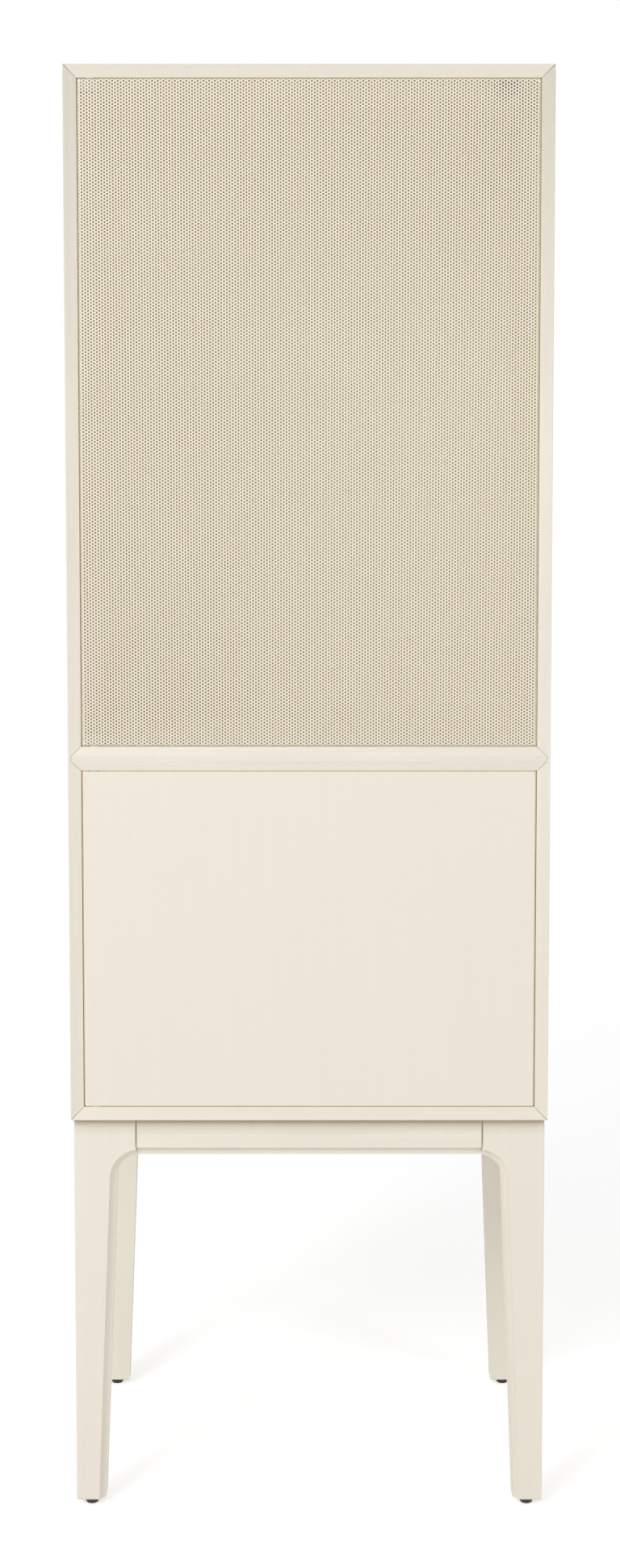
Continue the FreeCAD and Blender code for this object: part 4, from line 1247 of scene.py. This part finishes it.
def weld(chosen):
    """Points of both faces, the outer triangles, their sides' ends and which sides are open."""
    on_side = np.repeat(on_sides[chosen][:, None], 3, axis=1)
    outside = fold(flat_sheet[chosen], on_side, 0.0).reshape(-1, 3)
    inside = fold(flat_sheet[chosen], on_side, gauge).reshape(-1, 3)
    steps = np.round(outside * weld_steps).astype(np.int64)
    _, first, index = np.unique(steps, axis=0, return_index=True, return_inverse=True)
    triangles = index.reshape(-1, 3)
    starts, ends = triangles.ravel(), np.roll(triangles, -1, axis=1).ravel()
    count = len(first)
    open_side = ~np.isin(starts * count + ends, ends * count + starts)
    return np.concatenate([outside[first], inside[first]]), triangles, starts, ends, open_side


def after_each(places):
    """The next corner round each triangle."""
    return np.roll(places.reshape(-1, 3, 2), -1, axis=1).reshape(-1, 2)


print("bands are welded to a tenth of a micrometre")

# %% [markdown]
# Finishes may be baked into images later, and for that each face needs a place of its own on a
# flat map. The sheet already has a perfect map: itself, unfolded. The inner face lies above the
# outer one, and the wall of each hole is laid inside that hole, where the map has room.

# %% The band's flat map
map_gap = 3 * mm
map_margin = 2 * mm
map_width = 2 * end_u + 12 * mm
edge_wall = 1.2 * mm


def flat_map(chosen, open_side):
    """A place on the map for each corner of the outer face, the inner face and the walls."""
    sheet = flat_sheet[chosen].reshape(-1, 2)
    apart = np.sign(sheet) * (map_gap, 0) * np.repeat(on_sides[chosen], 3)[:, None]
    own = sheet + apart
    start, end = own[open_side], after_each(own)[open_side]
    hub = hole_middles[chosen].reshape(-1, 2)
    start_hub, end_hub = (hub + apart)[open_side], (after_each(hub) + apart)[open_side]
    run = end - start
    outward = run[:, ::-1] * (1, -1) / np.linalg.norm(run, axis=1, keepdims=True) * edge_wall
    in_hole = ~np.isnan(start_hub[:, :1]) & ~np.isnan(end_hub[:, :1])
    start_deep = np.where(in_hole, (start + start_hub) / 2, start + outward)
    end_deep = np.where(in_hole, (end + end_hub) / 2, end + outward)
    walls = np.stack([start, start_deep, end_deep, end], axis=1)
    tall = own[:, 1].max() - own[:, 1].min() + 2 * map_gap
    back = own.reshape(-1, 3, 2)[:, ::-1] + (0, tall)
    places = np.concatenate([own, back.reshape(-1, 2), walls.reshape(-1, 2)])
    return (places - places.min(axis=0) + map_margin) / map_width


print("the map is", round(map_width / mm), "mm wide")

# %% Build one band as a closed mesh


def sheet_band(name, chosen):
    """One band of the folded sheet: two faces and the walls between them."""
    points, triangles, starts, ends, open_side = weld(chosen)
    count = len(points) // 2
    a, b = starts[open_side], ends[open_side]
    walls = np.stack([a, a + count, b + count, b], axis=1)
    inner = triangles[:, ::-1] + count
    loops = np.concatenate([triangles.ravel(), inner.ravel(), walls.ravel()])
    sizes = np.repeat([3, 4], [2 * len(triangles), len(walls)])
    mesh = bpy.data.meshes.new(name)
    mesh.vertices.add(len(points))
    mesh.vertices.foreach_set("co", points.astype(np.float32).ravel())
    mesh.loops.add(len(loops))
    mesh.loops.foreach_set("vertex_index", loops.astype(np.int32))
    mesh.polygons.add(len(sizes))
    mesh.polygons.foreach_set("loop_start", (np.cumsum(sizes) - sizes).astype(np.int32))
    mesh.polygons.foreach_set("use_smooth", np.ones(len(sizes), dtype=bool))
    layer = mesh.uv_layers.new(name="OFBake")
    layer.data.foreach_set("uv", flat_map(chosen, open_side).astype(np.float32).ravel())
    mesh.update(calc_edges=True)
    rims = np.stack([a, b], axis=1)
    mark_rims(mesh, np.concatenate([rims, rims + count]))
    return bpy.data.objects.new(name, mesh), 2 * len(triangles) + 2 * len(walls)


def mark_rims(mesh, rims):
    """Marks the rims of the holes and of the sheet as sharp."""
    edges = np.empty(len(mesh.edges) * 2, dtype=np.int32)
    mesh.edges.foreach_get("vertices", edges)
    edges = np.sort(edges.reshape(-1, 2), axis=1).astype(np.int64)
    rims = np.sort(rims, axis=1).astype(np.int64)
    whole = len(mesh.vertices)
    sharp = np.isin(edges[:, 0] * whole + edges[:, 1], rims[:, 0] * whole + rims[:, 1])
    mesh.edges.foreach_set("use_edge_sharp", sharp)


print("bands have two faces, walls and sharp rims")

# %% Hang the bands on the sheet door
bands = 10
heights = flat_sheet.mean(axis=1)[:, 1]
band_of = np.clip(((heights + end_v) / (2 * end_v) * bands).astype(int), 0, bands - 1)
for number in range(bands):
    piece, count = sheet_band(f"perforated_sheet_band_{number + 1}", band_of == number)
    scene.collection.objects.link(piece)
    piece.data.materials.append(coat)
    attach(piece, "mesh_door")
    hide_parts("mesh_door_sheet")
    print(piece.name, count, "triangles")

# %% [markdown]
# In the photograph the gap round each door is pale and only a few millimetres deep, where a
# plain slot would look black. So something closes it, and we take it for a soft lip that runs
# round the door's edge and keeps dust out. One frame of even width would catch: on the hinge
# side it has to clear the side panel as the door swings, and the bushes need room. So the lip is
# made of straight runs of one rounded section, wider at the sides than at the ends.

# %% Dust lips round the doors
lip_setback = 3.5 * mm
lip_depth = 2.0 * mm
side_lip = 1.6 * mm
end_lip = 0.8 * mm
lip_ease = 0.3 * mm
bush_room = 1 * mm
bush_low, bush_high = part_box("pivot_bushes")
soft_lip = moulded("pale_soft_lip", (0.88, 0.82, 0.70), 0.65)


def lip_run(shape, start, end, out, reach):
    """Adds a straight run of lip whose section reaches out from the door's edge."""
    points, faces = shape
    front_half = [(0, 0), (reach - lip_ease, 0), (reach, lip_ease)]
    back_half = [(away, lip_depth - back) for away, back in reversed(front_half)]
    section = front_half + back_half
    near, count = len(points), len(section)
    far = near + count
    for place in (start, end):
        points += [place + out * away + Vector((0, back, 0)) for away, back in section]
    faces += ring_faces(near, far, count) + end_faces(near, far, count)


def dust_lip(name, node, body):
    """The lip round one door: a run on each side, and two at each end that leave out the bush."""
    low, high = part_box(node)
    front = low.y + lip_setback
    shape = ([], [])
    for x, out in ((low.x, Vector((-1, 0, 0))), (high.x, Vector((1, 0, 0)))):
        lip_run(shape, Vector((x, front, low.z)), Vector((x, front, high.z)), out, side_lip)
    for z, out in ((low.z, Vector((0, 0, -1))), (high.z, Vector((0, 0, 1)))):
        for start, end in ((low.x, bush_low.x - bush_room), (bush_high.x + bush_room, high.x)):
            lip_run(shape, Vector((start, front, z)), Vector((end, front, z)), out, end_lip)
    mesh = clean_mesh(name, *shape, joined=False)
    mesh.materials.append(soft_lip)
    piece = bpy.data.objects.new(name, mesh)
    scene.collection.objects.link(piece)
    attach(piece, body)
    print(name, len(mesh.polygons), "faces")


dust_lip("sheet_door_dust_lip", "mesh_door_sheet", "mesh_door")
dust_lip("board_door_dust_lip", "lower_door_panel", "lower_door")

# %% [markdown]
# Last, we compare the dressed cabinet with the solids that we opened, and print how far the new
# pieces make its box grow. New pieces may not make it larger.

# %% Compare the boxes
dressed_box = [list(corner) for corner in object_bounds()]
pairs = zip(solid_box[0] + solid_box[1], dressed_box[0] + dressed_box[1])
growth = [after - before for before, after in pairs]
print("grown by", [round(length / mm, 2) for length in growth], "mm")
